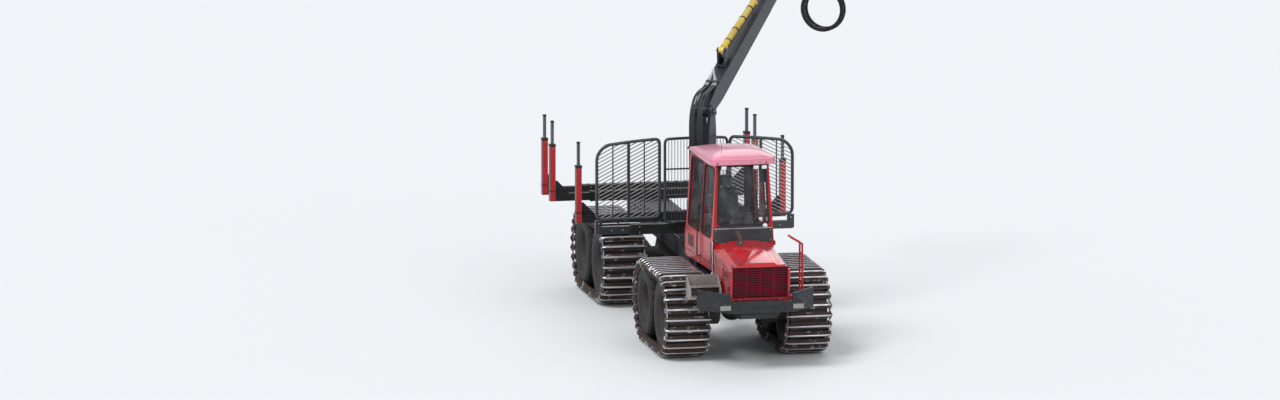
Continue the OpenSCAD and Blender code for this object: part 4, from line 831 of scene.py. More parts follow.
DRESSED = {
    "front_frame": (FRAME_PAINT, 0.005),
    "front_bumper": (FRAME_PAINT, 0.008),
    "engine": (CASTING, 0.012),
    "cab_console": (BLACK_PLASTIC, 0.015),
    "centre_joint": (FRAME_PAINT, 0.004),
    "rear_frame": (FRAME_PAINT, 0.006),
    "bolsters": (BLACK_PAINT, 0.005),
    "crane_pillar": (CRANE_PAINT, 0.008),
    "inner_boom": (CRANE_PAINT, 0.007),
    "outer_boom": (CRANE_PAINT, 0.006),
    "boom_extension": (CRANE_PAINT, 0.005),
    "lift_barrel": (CRANE_PAINT, 0.004),
    "jib_barrel": (YELLOW, 0.004),
    "tip_link": (BLACK_PAINT, 0.005),
    "rotator": (BLACK_PAINT, 0.005),
    "grapple_head": (BLACK_PAINT, 0.004),
    "grapple_jaw_near": (BLACK_PAINT, 0.004),
    "grapple_jaw_far": (BLACK_PAINT, 0.004),
    "grapple_barrel": (BLACK_PAINT, 0.002),
}
PAINTED = {"cab_windows": GLASS, "door_window": GLASS, "lift_rod": CHROME, "jib_rod": CHROME,
    "grapple_rod": CHROME}


def dress_plain_nodes():
    for node, (material, bevel) in DRESSED.items():
        dress(node, material, bevel)
    for node, material in PAINTED.items():
        slots = NODES[node].data.materials
        slots.clear()
        slots.append(material)


# Cab

CAB_BACK_X = 1.06
CAB_FRONT_X = 2.85
CAB_HALF_W = 0.54
CAB_TAPER = 0.095 / 1.79
CAB_LEAN = 0.08
CAB_FLOOR_Z = 1.5
CAB_SILL_Z = 2.03
CAB_TOP_Z = 3.35
ROOF_HALF_W = 0.517
SCREEN_LOW_Z = 2.31
SCREEN_LOW_HALF_W = 0.44
SCREEN_TOP_HALF_W = 0.4
CAB_WALL = 0.05
POST_X = 2.03
DOOR_FRONT_X = 2.71


def wall_y(x, z):
    """Half width of the cab at a place along it and a height."""
    lean = max(0, z - CAB_SILL_Z) / (CAB_TOP_Z + 0.01 - CAB_SILL_Z) * CAB_LEAN
    return CAB_HALF_W + (CAB_FRONT_X - x) * CAB_TAPER - lean


def screen_x(z):
    return CAB_FRONT_X - max(0, z - SCREEN_LOW_Z) / (CAB_TOP_Z - SCREEN_LOW_Z) * 0.07


def inside_cab(face):
    p = face.calc_center_median()
    deep = CAB_WALL - 0.012
    inner = abs(p.y) < wall_y(p.x, p.z) - deep and CAB_BACK_X + deep < p.x < screen_x(p.z) - deep
    return 1 if inner and p.z > CAB_FLOOR_Z + 0.03 else 0


def ring_strip(piece, outline, width, normal, proud):
    """A flat frame round an opening: it covers width outside the outline and stands proud of the wall."""
    points = rounded(outline, 0.07, 5)
    count = len(points)
    middle = sum(points, Vector()) / count
    out = Vector(normal).normalized()
    section = ((-0.006, -0.03), (-0.006, proud * 0.7), (width * 0.35, proud), (width, proud * 0.6), (width,
        -0.004))
    size = len(section)
    ring = []
    for i, p in enumerate(points):
        along = (points[(i + 1) % count] - points[i - 1]).normalized()
        side = along.cross(out).normalized()
        if side.dot(p - middle) < 0:
            side = -side
        ring += [p + side * aside + out * rise for aside, rise in section]
    faces = [
        (i * size + k, (i + 1) % count * size + k, (i + 1) % count * size + k + 1, i * size + k + 1)
        for i in range(count) for k in range(size - 1)
    ]
    piece.add(ring, faces, SEAL)


def cab_seals():
    """Gaskets round the windows."""
    shell, door = Piece("cab_seals"), Piece("door_seal")
    low, high = SCREEN_LOW_Z, CAB_TOP_Z - 0.04
    corners = ((-SCREEN_LOW_HALF_W, low), (SCREEN_LOW_HALF_W, low), (SCREEN_TOP_HALF_W, high),
        (-SCREEN_TOP_HALF_W, high))
    ring_strip(shell, [(screen_x(z), y, z) for y, z in corners], 0.03, (1, 0, 0.0673), 0.008)
    rear = [(CAB_BACK_X, y, z) for y, z in ((0.4, 2.3), (-0.4, 2.3), (-0.4, 3.26), (0.4, 3.26))]
    ring_strip(shell, rear, 0.026, (-1, 0, 0), 0.008)
    low, high = CAB_SILL_Z + 0.04, CAB_TOP_Z - 0.09
    back, front = (CAB_BACK_X + 0.12, POST_X - 0.045), (POST_X + 0.045, DOOR_FRONT_X)
    for side, (x0, x1) in ((1, back), (-1, back), (-1, front)):
        outline = [(x, side * wall_y(x, z), z) for x, z in ((x0, low), (x1, low), (x1, high), (x0, high))]
        ring_strip(shell, outline, 0.024, (CAB_TAPER, side, 0.06), 0.007)
    x0, x1 = POST_X + 0.075, DOOR_FRONT_X - 0.025
    corners = ((x0, 1.88), (x1, 1.88), (x1, CAB_SILL_Z), (x1, 3.22), (x0, 3.22), (x0, CAB_SILL_Z))
    ring_strip(door, [(x, wall_y(x, z), z) for x, z in corners], 0.024, (CAB_TAPER, 1, 0.03), 0.007)
    shell.finish("cab_shell", angle=60)
    door.finish("cab_door", angle=60)


def roof_ring(grow, z, corner, steps=10):
    """One level of the roof: a rounded rectangle."""
    x_low, x_high = CAB_BACK_X - grow, CAB_FRONT_X - 0.04 + grow
    half = ROOF_HALF_W + grow
    ring = []
    for cx, cy, start in ((x_high, half, 0), (x_low, half, 90), (x_low, -half, 180), (x_high, -half, 270)):
        mx = cx - corner if cx == x_high else cx + corner
        my = cy - corner if cy > 0 else cy + corner
        for k in range(steps + 1):
            a = math.radians(start + 90 * k / steps)
            ring.append((mx + corner * math.cos(a), my + corner * math.sin(a), z))
    return ring


ROOF_LEVELS = [(-0.03, 0.000, 0.1), (0.06, 0.000, 0.115), (0.069, 0.006, 0.118), (0.07, 0.018, 0.12), (0.068,
    0.072, 0.12), (0.06, 0.078, 0.12), (0.06, 0.084, 0.12), (0.066, 0.09, 0.12), (0.064, 0.104, 0.125),
    (0.048, 0.12, 0.14), (0.018, 0.14, 0.155), (-0.022, 0.16, 0.165), (-0.075, 0.18, 0.17), (-0.135, 0.198,
    0.17), (-0.19, 0.211, 0.17), (-0.25, 0.221, 0.17), (-0.32, 0.226, 0.16),]


def roof_height(x, z):
    """The roof thins towards the back: what stands above its lower edge is pressed down there."""
    full = ROOF_LEVELS[-1][1]
    share = min(1.0, (3.237 + 0.174 * x - CAB_TOP_Z) / full)
    low = CAB_TOP_Z + 0.018
    return z if z < low else low + (z - low) * share


def cab_roof():
    roof = Piece("cab_roof_finished")
    rings = [roof_ring(grow, CAB_TOP_Z + z, corner) for grow, z, corner in ROOF_LEVELS]
    points = [(x, y, roof_height(x, z)) for ring in rings for x, y, z in ring]
    roof.add(points, tube_faces(len(rings), len(rings[0])), PINK)
    roof.finish("cab_roof", angle=50, replaces=True)
    details = Piece("cab_roof_details")
    for x, y in ((2.855, -0.345), (2.855, 0.223), (2.855, 0.367), (1.02, -0.345), (1.02, 0.345)):
        way = 1 if x > 2 else -1
        details.box(span(x, 0.022), span(y, 0.05), (3.268, 3.34), BLACK_PLASTIC)
        details.box((x + way * 0.019, x + way * 0.0235), span(y, 0.044), (3.274, 3.334), LAMP_GLASS)
        details.box(span(x, 0.006), span(y, 0.014), (3.336, 3.352), BLACK_PLASTIC)
    for y in (-0.46, 0.4):
        details.ring([(0.018, -0.004), (0.018, 0.006), (0.01, 0.012)], RED_LENS, (2.879, y, 3.385), AHEAD, 16)
    for y in (0.145, 0.29):
        details.ring([(0.01, -0.004), (0.01, 0.004), (0.006, 0.007)], BLACK_PLASTIC, (2.879, y, 3.39), AHEAD,
            12)
    aerial = [(0.022, -0.02), (0.022, 0.012), (0.01, 0.022), (0.0035, 0.03), (0.0025, 0.2), (0.002, 0.24)]
    details.lathe(aerial, BLACK_PLASTIC, move(2.66, -0.34, 3.515), 12)
    details.finish("cab_roof", bevel=0.004, segments=2)


def front_panel():
    """The cover between hood and windscreen, the wiper and the dark band above the screen."""
    piece = Piece("screen_fittings")
    x = CAB_FRONT_X
    piece.box((x - 0.004, x + 0.012), span(0, 0.515), (1.995, 2.23), DARK_PANEL)
    piece.box((x - 0.004, x + 0.02), span(0, 0.515), (2.233, 2.25), ZINC)
    piece.box((x - 0.004, x + 0.01), span(0, 0.48), (2.254, 2.282), DARK_PANEL)
    for i in range(8):
        for z in (2.16, 2.18):
            piece.box((x + 0.01, x + 0.016), span(-0.36 + i * 0.09, 0.034), (z, z + 0.007), BLACK_PLASTIC)
    piece.bolts([(x + 0.012, y, z) for y in (-0.48, 0.48) for z in (2.03, 2.2)], AHEAD, 0.007, ZINC)
    dome = [(0.042, -0.005), (0.042, 0.008), (0.036, 0.012), (0.034, 0.022), (0.024, 0.034), (0.01, 0.04)]
    piece.ring(dome, LAMP_GLASS, (x + 0.012, 0.385, 2.277), (1, 0, 0.1), 24)
    face = screen_x(CAB_TOP_Z - 0.03)
    piece.box((face - 0.004, face + 0.012), span(0, 0.45), (CAB_TOP_Z - 0.046, CAB_TOP_Z - 0.002), SEAL)
    pivot = Vector((screen_x(2.34) + 0.012, -0.02, 2.34))
    tip = Vector((screen_x(2.84) + 0.022, 0.17, 2.84))
    piece.ring([(0.022, -0.02), (0.022, 0.012), (0.014, 0.02)], BLACK_PLASTIC, pivot, (1, 0, 0.07), 16)
    arm = [pivot + Vector((0.012, 0, 0)), pivot.lerp(tip, 0.5) + Vector((0.026, 0, 0)), tip + Vector((0.012,
        0, 0))]
    piece.pipe(curve_through(arm, 6), 0.007, BLACK_PLASTIC, 8)
    low, high = tip - Vector((-0.02, 0.05, 0.32)), tip + Vector((-0.018, 0.05, 0.28))
    blade = [low, tip.lerp(low, 0.5) + Vector((0.004, 0, 0)), tip + Vector((0.004, 0, 0)), high]
    piece.pipe(blade, 0.006, SEAL, 8)
    piece.finish("cab_shell", bevel=0.002)


def cab():
    dress("cab_shell", RED, 0.01, inside_cab, (BLACK_PLASTIC,))
    dress("cab_door", RED, 0.008, inside_cab, (BLACK_PLASTIC,))
    cab_seals()
    cab_roof()
    front_panel()
    dress("access_steps", MUDDY, 0.005, lambda face: 1 if face.calc_center_median().y > 0 else 0, (RED,))


# Hood, grille, exhaust, engine bay and bumper

HOOD_BACK_X = 2.875
HOOD_HALF_W = 0.525
HOOD_SLOPE = math.radians(6.734)
HOOD_TOP_Z = 2.0
HOOD_UP = (0.117, 0, 1)
GRILLE_LOW_Z = 1.258
GRILLE_HIGH_Z = 1.805
BUMPER_FACE_X = 4.44


def hood_top(x, above=0.0):
    return HOOD_TOP_Z - (x - HOOD_BACK_X) * math.tan(HOOD_SLOPE) + above / math.cos(HOOD_SLOPE)


def face_x(z):
    """Front face of the hood at a height."""
    return 4.27 + (z - 1.23) * 0.0513


def inside_hood(face):
    p = face.calc_center_median()
    return 1 if face.normal.dot(p - Vector((3.6, 0, 1.55))) < -0.01 else 0


def louvres(piece, x, side):
    """A row of pressed air slots on a side panel, each with a black strip below it as painted shade in its
    opening.
    """
    y = side * HOOD_HALF_W
    shape = [(0, -0.004), (0.009, -0.002), (0.011, 0.003), (0.004, 0.018), (-0.004, 0.022), (-0.004, -0.004)]
    standing = Matrix(((0, 0, 1, 0), (side, 0, 0, 0), (0, 1, 0, 0), (0, 0, 0, 1)))
    for i in range(8):
        z = 1.44 + i * 0.034
        piece.plate(shape, x, x + 0.19, HOOD_RED, move(0, y, z) @ standing)
        # Black strip: painted shade where the slot's opening would be dark.
        piece.box((x + 0.004, x + 0.186), span(y, 0.0015), (z - 0.011, z - 0.003), BLACK_PLASTIC)


def hood_fittings():
    piece = Piece("hood_fittings")
    grip = ((0, 0), (0.01, 0.03), (0.05, 0.04), (0.11, 0.04), (0.15, 0.03), (0.16, 0))
    for side in SIDES:
        for x in (3.02, 3.24, 3.46):
            louvres(piece, x, side)
        y = side * (HOOD_HALF_W + 0.001)
        piece.box((3.745, 3.751), span(y, 0.0025), (1.28, 1.82), SEAL)
        for x in (2.93, 4.18):
            piece.box(span(x, 0.016), (y - 0.004, y + 0.014), (1.3, 1.345), BLACK_PLASTIC)
            piece.rod((x, y + side * 0.01, 1.29), (x, y + side * 0.01, 1.36), 0.007, ZINC, 12)
        for x in (2.91, 3.3, 3.7, 3.8, 4.2):
            for z in (1.262, 1.86 - (x - 2.9) * 0.1):
                piece.bolt((x, side * HOOD_HALF_W, z), (0, side, 0), 0.0065, ZINC)
        line = [(3.86 + u, side * (HOOD_HALF_W + 0.002 + out), 1.62) for u, out in grip]
        piece.pipe(curve_through(line, 5), 0.008, BLACK_PLASTIC, 10)
    bar = ((-0.015, -0.007), (-0.003, -0.005), (-0.003, 0.005), (-0.015, 0.007))
    for y in (-0.246, 0, 0.246):
        points = [(face_x(z) + u, y + v, z) for z in (GRILLE_LOW_Z, GRILLE_HIGH_Z) for u, v in bar]
        piece.add(points, tube_faces(2, 4), GRILLE_RED)
    corners = ((-0.49, GRILLE_LOW_Z), (0.49, GRILLE_LOW_Z), (0.49, GRILLE_HIGH_Z), (-0.49, GRILLE_HIGH_Z))
    ring = rounded([(face_x(z) + 0.001, y, z) for y, z in corners], 0.012, 3)
    piece.pipe([*ring, ring[0]], 0.005, RED, 8)
    piece.bolts([(x, y, hood_top(x)) for y in (-0.36, 0.36) for x in (2.92, 3.5, 4.1)], HOOD_UP, 0.008, ZINC)
    piece.finish("hood", bevel=0.001)


def exhaust():
    dress("exhaust_stack", EXHAUST, 0.002)
    x, y = 3.12, -0.11
    piece = Piece("exhaust_fittings", move(x, y, hood_top(x, 0.0283)))
    for dx in (-0.052, 0.052):
        piece.bolts([(dx, dy, 0.0135 - dx * 0.118) for dy in (-0.052, 0.052)], HOOD_UP, 0.009, ZINC)
    for up, radius in ((0.03, 0.0455), (0.122, 0.0445)):
        profile = [(0.04, up), (radius, up + 0.002), (radius, up + 0.013), (0.04, up + 0.015)]
        piece.lathe(profile, EXHAUST)
    piece.rod((0.045, -0.02, 0.038), (0.045, 0.02, 0.038), 0.006, ZINC, 8)
    tip = piece.frame @ move(0, 0, 0.13) @ turn("X", 32)
    piece.lathe([(0.0415, 0.112), (0.0445, 0.116), (0.0445, 0.127), (0.0415, 0.13)], EXHAUST, tip,
        closed=True)
    piece.finish("exhaust_stack", angle=40)


def engine_bay():
    """What shows through the grille and with the hood up: radiator, fan cowl, filters and pipes."""
    piece = Piece("engine_fittings")
    piece.box((4.125, 4.165), span(0, 0.43), (1.27, 1.785), RADIATOR)
    for ys, zs in (((-0.47, -0.43), (1.262, 1.795)), ((0.43, 0.47), (1.262, 1.795)), (span(0, 0.47), (1.785,
            1.815)), (span(0, 0.47), (1.235, 1.27))):
        piece.box((4.118, 4.172), ys, zs, BLACK_PAINT)
    cowl = [(0.2, 0), (0.255, 0.01), (0.255, 0.045), (0.235, 0.05), (0.235, 0.012), (0.2, 0.01)]
    piece.ring(cowl, BLACK_PLASTIC, (4.062, 0, 1.53), AHEAD, 40, closed=True)
    fan = piece.aim((4.085, 0, 1.53), AHEAD)
    blade = [(0.04, -0.02), (0.19, -0.045), (0.2, 0.02), (0.04, 0.03)]
    for k in range(7):
        piece.plate(blade, -0.003, 0.003, BLACK_PLASTIC, fan @ turn("Z", k * 360 / 7) @ turn("X", 22))
    piece.lathe([(0.05, -0.03), (0.05, 0.02), (0.03, 0.03)], BLACK_PLASTIC, fan, 24)
    for x in (3.14, 3.34, 3.54, 3.74, 3.94):
        piece.box(span(x, 0.075), span(0, 0.13), (1.798, 1.846), CASTING)
        piece.bolts([(x, y, 1.846) for y in (-0.11, 0.11)], UP, 0.01, ZINC)
    rail = [(3.05, 0.22, 1.835), (3.4, 0.235, 1.84), (3.8, 0.235, 1.835), (3.98, 0.2, 1.8)]
    piece.pipe(curve_through(rail, 6), 0.028, GREY_PLASTIC, 16)
    for k in range(5):
        piece.pipe([(3.14 + k * 0.2, 0.12, 1.83), (3.14 + k * 0.2, 0.22, 1.835)], 0.016, GREY_PLASTIC, 12)
    for x in (3.2, 3.4):
        piece.ring([(0.045, 0), (0.052, 0.008), (0.052, 0.15), (0.04, 0.165)], GREY_PLASTIC, (x, -0.36, 1.42),
            UP, 24)
        piece.box(span(x, 0.05), (-0.4, -0.298), (1.585, 1.615), CASTING)
    filter_can = [(0.085, 0), (0.095, 0.01), (0.095, 0.34), (0.085, 0.35)]
    piece.ring(filter_can, BLACK_PLASTIC, (3.15, 0.4, 1.66), AHEAD, 28)
    for i in range(12):
        for ys in ((-0.3035, -0.299), (0.299, 0.3035)):
            piece.box((3.05 + i * 0.08, 3.062 + i * 0.08), ys, (1.26, 1.74), CASTING)
    hose = [(3.9, -0.2, 1.84), (4.02, -0.24, 1.8), (4.08, -0.3, 1.74), (4.13, -0.33, 1.72)]
    piece.pipe(curve_through(hose, 5), 0.024, HOSE, 14)
    piece.finish("engine", bevel=0.0015)


def bumper_fittings():
    piece = Piece("bumper_fittings")
    x = BUMPER_FACE_X
    for side in SIDES:
        y = side * 0.64
        piece.box((x - 0.02, x + 0.003), span(y, 0.101), (1.082, 1.178), BLACK_PLASTIC)
        piece.box((x - 0.01, x + 0.007), span(y, 0.093), (1.089, 1.171), DULL_LENS)
        piece.rod((x - 0.06, y, 1.1825), (x - 0.06, y, 1.196), 0.012, ZINC, 12)
        for along in (0.16, 0.4, 0.66, 0.9):
            spot = Vector((4.42, side * 0.6, 0)).lerp(Vector((3.93, side * 1.01, 0)), along)
            piece.bolts([(spot.x, spot.y, z) for z in (1.075, 1.315)], (0.642, side * 0.767, 0), 0.011,
                FRAME_PAINT)
        hook = [(u, side * 0.4, z) for u, z in ((-0.005, 1.085), (0.006, 1.085), (0.006, 1.175), (-0.005,
            1.175))]
        piece.pipe([(x + u, v, z) for u, v, z in hook], 0.008, BLACK_PAINT, 10)
    for i in range(8):
        piece.bolts([(x, -0.49 + i * 0.14, z) for z in (1.062, 1.195)], AHEAD, 0.01, FRAME_PAINT)
    piece.box(span(x, 0.004), span(0, 0.3), (1.105, 1.15), BLACK_PAINT)
    piece.finish("front_bumper", bevel=0.0015)


def front_end():
    dress("hood", HOOD_RED, 0.012, inside_hood, (BLACK_PAINT,))
    dress("grille", GRILLE_RED, 0.0015)
    hood_fittings()
    exhaust()
    engine_bay()
    bumper_fittings()


# Inside the cab: seat, consoles and controls

SEAT_X = 1.65
SEAT_BASE_Z = 1.5503
CLOTH_STEPS = 14
CLOTH_PRESSURE = 4.0
SEAM_DEPTH = 0.007
CROSS_SEAM_DEPTH = 0.005


def cushion(name, size, place, crown, corner, tilt=0.0, cap=0.012):
    """A padded block: a rounded form that swells as cloth under pressure, then gets its seams."""
    half = [s / 2 for s in size]
    mesh = bpy.data.meshes.new(name)
    shape = bmesh.new()
    bmesh.ops.create_cube(shape, size=1)
    bmesh.ops.subdivide_edges(shape, edges=shape.edges, cuts=11, use_grid_fill=True)
    for v in shape.verts:
        p = Vector((v.co.x * 2, v.co.y * 2, v.co.z * 2))
        level = 1 - corner * (abs(p.x) ** 8 * abs(p.y) ** 8)
        pull = 1 - 0.035 * (1 - abs(p.y) ** 2) * (abs(p.x) ** 6)
        rise = 1 + crown * (1 - p.x * p.x) * (1 - p.y * p.y)
        v.co = Vector((p.x * half[0] * level * pull, p.y * half[1] * level,
            p.z * half[2] * rise * (0.55 + 0.45 * level)))
    shape.to_mesh(mesh)
    shape.free()
    piece = place_mesh(name, mesh)
    mesh.materials.append(SEAT_CLOTH)
    apply_modifier(piece, "BEVEL", width=0.02, segments=3)
    apply_modifier(piece, "REMESH", mode="VOXEL", voxel_size=0.01, use_smooth_shade=True)
    before = [v.co.copy() for v in piece.data.vertices]
    swell(piece)
    for v, old in zip(piece.data.vertices, before):
        step = v.co - old
        v.co = old + step * min(1, cap / max(step.length, 1e-6))
    for v in piece.data.vertices:
        side = abs(v.co.x) / half[0]
        for groove in (-0.34, 0.34):
            away = abs(v.co.y / half[1] - groove) * half[1]
            if away < 0.012 and side < 0.86 and v.co.z > 0:
                v.co.z -= SEAM_DEPTH * (1 - (away / 0.012) ** 2)
        away = abs(abs(v.co.x / half[0]) - 0.45) * half[0]
        if away < 0.01 and abs(v.co.y) < 0.34 * half[1] and v.co.z > 0:
            v.co.z -= CROSS_SEAM_DEPTH * (1 - (away / 0.01) ** 2)
    piece.data.transform(place @ turn("Y", tilt))
    apply_modifier(piece, "SUBSURF", levels=1)
    piece.data.polygons.foreach_set("use_smooth", [True] * len(piece.data.polygons))
    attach(piece, body_of("driver_seat"))


def keep_evaluated(piece):
    """Replaces the object's mesh by what its modifiers make of it."""
    made = bpy.data.meshes.new_from_object(piece.evaluated_get(bpy.context.evaluated_depsgraph_get()))
    piece.modifiers.clear()
    piece.data = made


def apply_modifier(piece, kind, **settings):
    modifier = piece.modifiers.new("made", kind)
    for key, value in settings.items():
        setattr(modifier, key, value)
    bpy.context.view_layer.update()
    keep_evaluated(piece)


def swell(piece):
    """Pressure from inside makes the cover bulge, as the filling does."""
    scene = bpy.context.scene
    pressure = piece.modifiers.new("pressure", "CLOTH")
    pressure.settings.use_pressure = True
    pressure.settings.uniform_pressure_force = CLOTH_PRESSURE
    pressure.settings.effector_weights.gravity = 0
    pressure.point_cache.frame_end = CLOTH_STEPS
    for step in range(1, CLOTH_STEPS + 1):
        scene.frame_set(step)
    keep_evaluated(piece)
    scene.frame_set(1)


def seat():
    cushion("seat_cushion", (0.47, 0.48, 0.115), move(SEAT_X, 0, 1.998), 0.22, 0.1)
    cushion("seat_backrest", (0.6, 0.45, 0.105), move(SEAT_X - 0.236, 0, 2.385), 0.2, 0.12, tilt=80)
    cushion("seat_headrest", (0.19, 0.26, 0.085), move(SEAT_X - 0.325, 0, 2.835), 0.22, 0.14, tilt=88)
    piece = Piece("seat_frame", move(SEAT_X, 0, 0))
    base = [(0.118, 0), (0.118, 0.02), (0.075, 0.03), (0.07, 0.2), (0.11, 0.24), (0.115, 0.36), (0.09, 0.385)]
    piece.lathe(base, BLACK_PLASTIC, move(SEAT_X, 0, SEAT_BASE_Z), 28)
    for i in range(5):
        fold = move(SEAT_X, 0, SEAT_BASE_Z + 0.235 + i * 0.022)
        piece.lathe([(0.1, 0), (0.119, 0.01), (0.1, 0.02)], SEAL, fold, 28)
    piece.box(span(0, 0.24), span(0, 0.235), (1.925, 1.948), BLACK_PLASTIC)
    back = [(-0.245, 2.05), (-0.205, 2.05), (-0.315, 2.68), (-0.36, 2.72), (-0.365, 2.66)]
    standing = piece.frame @ Matrix(((1, 0, 0, 0), (0, 0, -1, 0), (0, 1, 0, 0), (0, 0, 0, 1)))
    piece.plate(back, -0.2, 0.2, BLACK_PLASTIC, standing)
    for y in (-0.06, 0.06):
        piece.rod((-0.34, y, 2.66), (-0.352, y, 2.76), 0.008, CHROME, 10)
    for side in SIDES:
        piece.rod((-0.2, side * 0.242, 2.04), (-0.2, side * 0.215, 2.04), 0.035, GREY_PLASTIC, 20)
    piece.finish("driver_seat", bevel=0.003, segments=2, replaces=True)


def controls():
    """Joysticks, keys, screen, wheel and pedals on the consoles."""
    piece = Piece("cab_controls")
    stick = [(0.012, 0.0), (0.01, 0.05), (0.019, 0.065), (0.021, 0.1), (0.024, 0.125), (0.018, 0.142)]
    for side in SIDES:
        y = side * 0.36
        piece.box((-0.11, 0.1), span(0, 0.045), (0, 0.018), SEAL, move(1.93, y, 2.2505))
        at = move(2.00, y, 2.2505) @ turn("Y", 10)
        piece.lathe([(0.035, 0), (0.03, 0.015), (0.016, 0.035)], SEAL, at, 20)
        piece.lathe(stick, BLACK_PLASTIC, at, 20)
        for i in range(3):
            for j in range(3):
                x = 1.66 + i * 0.035
                key = GREY_PLASTIC if i else AMBER_LENS
                piece.box((x, x + 0.024), span(y - 0.03 + j * 0.03, 0.01), (2.2495, 2.257), key)
        piece.box((1.52, 1.64), span(y, 0.05), (2.249, 2.285), SEAT_CLOTH)
    screen = move(2.6, -0.33, 2.47) @ turn("Z", 150) @ turn("Y", -12)
    piece.box(span(0, 0.012), span(0, 0.11), span(0, 0.075), BLACK_PLASTIC, screen)
    piece.box((0.0115, 0.014), span(0, 0.1), span(0, 0.063), SCREEN_GLASS, screen)
    piece.pipe(curve_through([(2.61, -0.335, 2.4), (2.68, -0.36, 2.36), (2.77, -0.4, 2.34)], 5), 0.01,
        BLACK_PLASTIC, 10)
    foot, hub = Vector((2.57, 0, 2.3)), Vector((2.4, 0, 2.44))
    piece.rod(foot, hub, 0.026, BLACK_PLASTIC)
    wheel = facing(hub, hub - foot)
    piece.lathe([(0.165 + x, y) for x, y, _ in circle(10, 0.012)], SEAL, wheel, 40, closed=True)
    for low, high in zip(circle(3, 0.02, shift=0.25), circle(3, 0.158, shift=0.25)):
        piece.rod(*on(wheel, (low, high)), 0.008, BLACK_PLASTIC, 10)
    piece.lathe([(0.045, -0.015), (0.045, 0.01), (0.035, 0.018)], BLACK_PLASTIC, wheel, 24)
    for y in (-0.12, 0.12):
        pedal = move(2.5, y, 1.62) @ turn("Y", -55)
        piece.box(span(0, 0.07), span(0, 0.04), (0, 0.012), BLACK_PLASTIC, pedal)
        for i in range(5):
            piece.box((-0.055 + i * 0.025, -0.045 + i * 0.025), span(0, 0.036), (0.011, 0.016), SEAL, pedal)
    piece.finish("cab_console", bevel=0.002)


def wall_frame(x, z, side):
    """A frame on the cab's side wall: X forward along it, Y up, Z out."""
    along = Vector((1, -side * CAB_TAPER, 0)).normalized()
    up = Vector((0, -side * (CAB_LEAN / 1.33 if z > CAB_SILL_Z else 0), 1)).normalized()
    out = along.cross(up) * -side
    return move(x, side * wall_y(x, z), z) @ Matrix((along, up, out)).transposed().to_4x4()


def grab_bar(shell, x, low, high, side):
    foot, top = Vector((x, side * wall_y(x, low), low)), Vector((x, side * wall_y(x, high), high))
    out, up = Vector((0, side * 0.045, 0)), Vector((0, 0, 0.03))
    middle = foot.lerp(top, 0.5).z
    line = [foot, foot + out + up, Vector((x, side * (wall_y(x, middle) + 0.045), middle)), top + out - up,
        top]
    shell.pipe(curve_through(line, 5), 0.011, BLACK_PAINT, 12)
    for p in (foot, top):
        shell.ring([(0.022, -0.002), (0.022, 0.006)], BLACK_PAINT, p, (0, side, 0.06), 16)


def cab_outside():
    """Handle, grab bars, hinges' bolts and the hoses at the cab's front corner."""
    door = Piece("door_handle")
    x, z = 2.1, 1.78
    y = wall_y(x, z)
    door.box((x - 0.035, x + 0.065), span(y, 0.004), span(z, 0.055), BLACK_PLASTIC)
    door.rod((x - 0.01, y, z + 0.02), (x - 0.01, y + 0.026, z + 0.02), 0.01, ZINC, 12)
    door.box((x - 0.018, x + 0.058), (y + 0.018, y + 0.028), (z + 0.01, z + 0.03), BLACK_PLASTIC)
    door.ring([(0.01, 0), (0.01, 0.004), (0.007, 0.006)], ZINC, (x + 0.03, y + 0.003, z - 0.03), (0, 1, 0),
        16)
    y = wall_y(2.4, 1.6)
    door.box((2.066, 2.74), (y - 0.02, y + 0.004), (1.612, 1.618), SEAL)
    door.finish("cab_door", bevel=0.003, segments=2)
    shell = Piece("cab_fittings")
    for side in SIDES:
        grab_bar(shell, 1.985, 1.64, 2.52, side)
    for k, material in enumerate((HOSE, WHITE_HOSE, HOSE)):
        line = ((2.8625, 0, 2.045 - 0.02 * k), (2.8625, -0.004, 1.9), (2.8625, 0.003, 1.72), (2.8625, -0.003,
            1.56), (2.85, 0.02, 1.47), (2.8, 0.1, 1.41))
        shell.pipe(curve_through([(x, v - 0.519 - 0.024 * k, z) for x, v, z in line], 6), 0.01, material, 12)
    for z in (1.8, 1.58):
        shell.box((2.851, 2.873), (-0.585, -0.5), (z, z + 0.015), ZINC)
    shell.ring([(0.016, 0), (0.016, 0.03), (0.012, 0.035)], WHITE_HOSE, (2.862, -0.545, 1.455), (0.2, -0.3,
        1), 12)
    for side in SIDES:
        for x in (1.1, 1.3, 1.5, 1.7, 1.9, 2.16, 2.36, 2.56, 2.76):
            if side < 0 or x < 2.0:
                shell.bolt((x, side * wall_y(x, 1.53), 1.53), (CAB_TAPER, side, 0), 0.008, ZINC)
        shell.box((0, 0.86), (0, 0.008), (-0.004, 0.003), SEAL, wall_frame(1.1, 1.62, side))
        vent = wall_frame(1.22, 1.72, side)
        shell.box((-0.02, 0.38), (-0.03, 0.235), (-0.004, 0.005), RED, vent)
        for i in range(9):
            shell.box((0, 0.34), (i * 0.023, i * 0.023 + 0.01), (0.003, 0.012), BLACK_PLASTIC, vent)
    panel = wall_frame(2.08, 1.62, -1)
    shell.box((0, 0.74), (0, 0.008), (-0.004, 0.003), SEAL, panel)
    shell.box((-0.04, -0.032), (-0.1, 0.4), (-0.004, 0.003), SEAL, panel)
    shell.finish("cab_shell", bevel=0.0015)


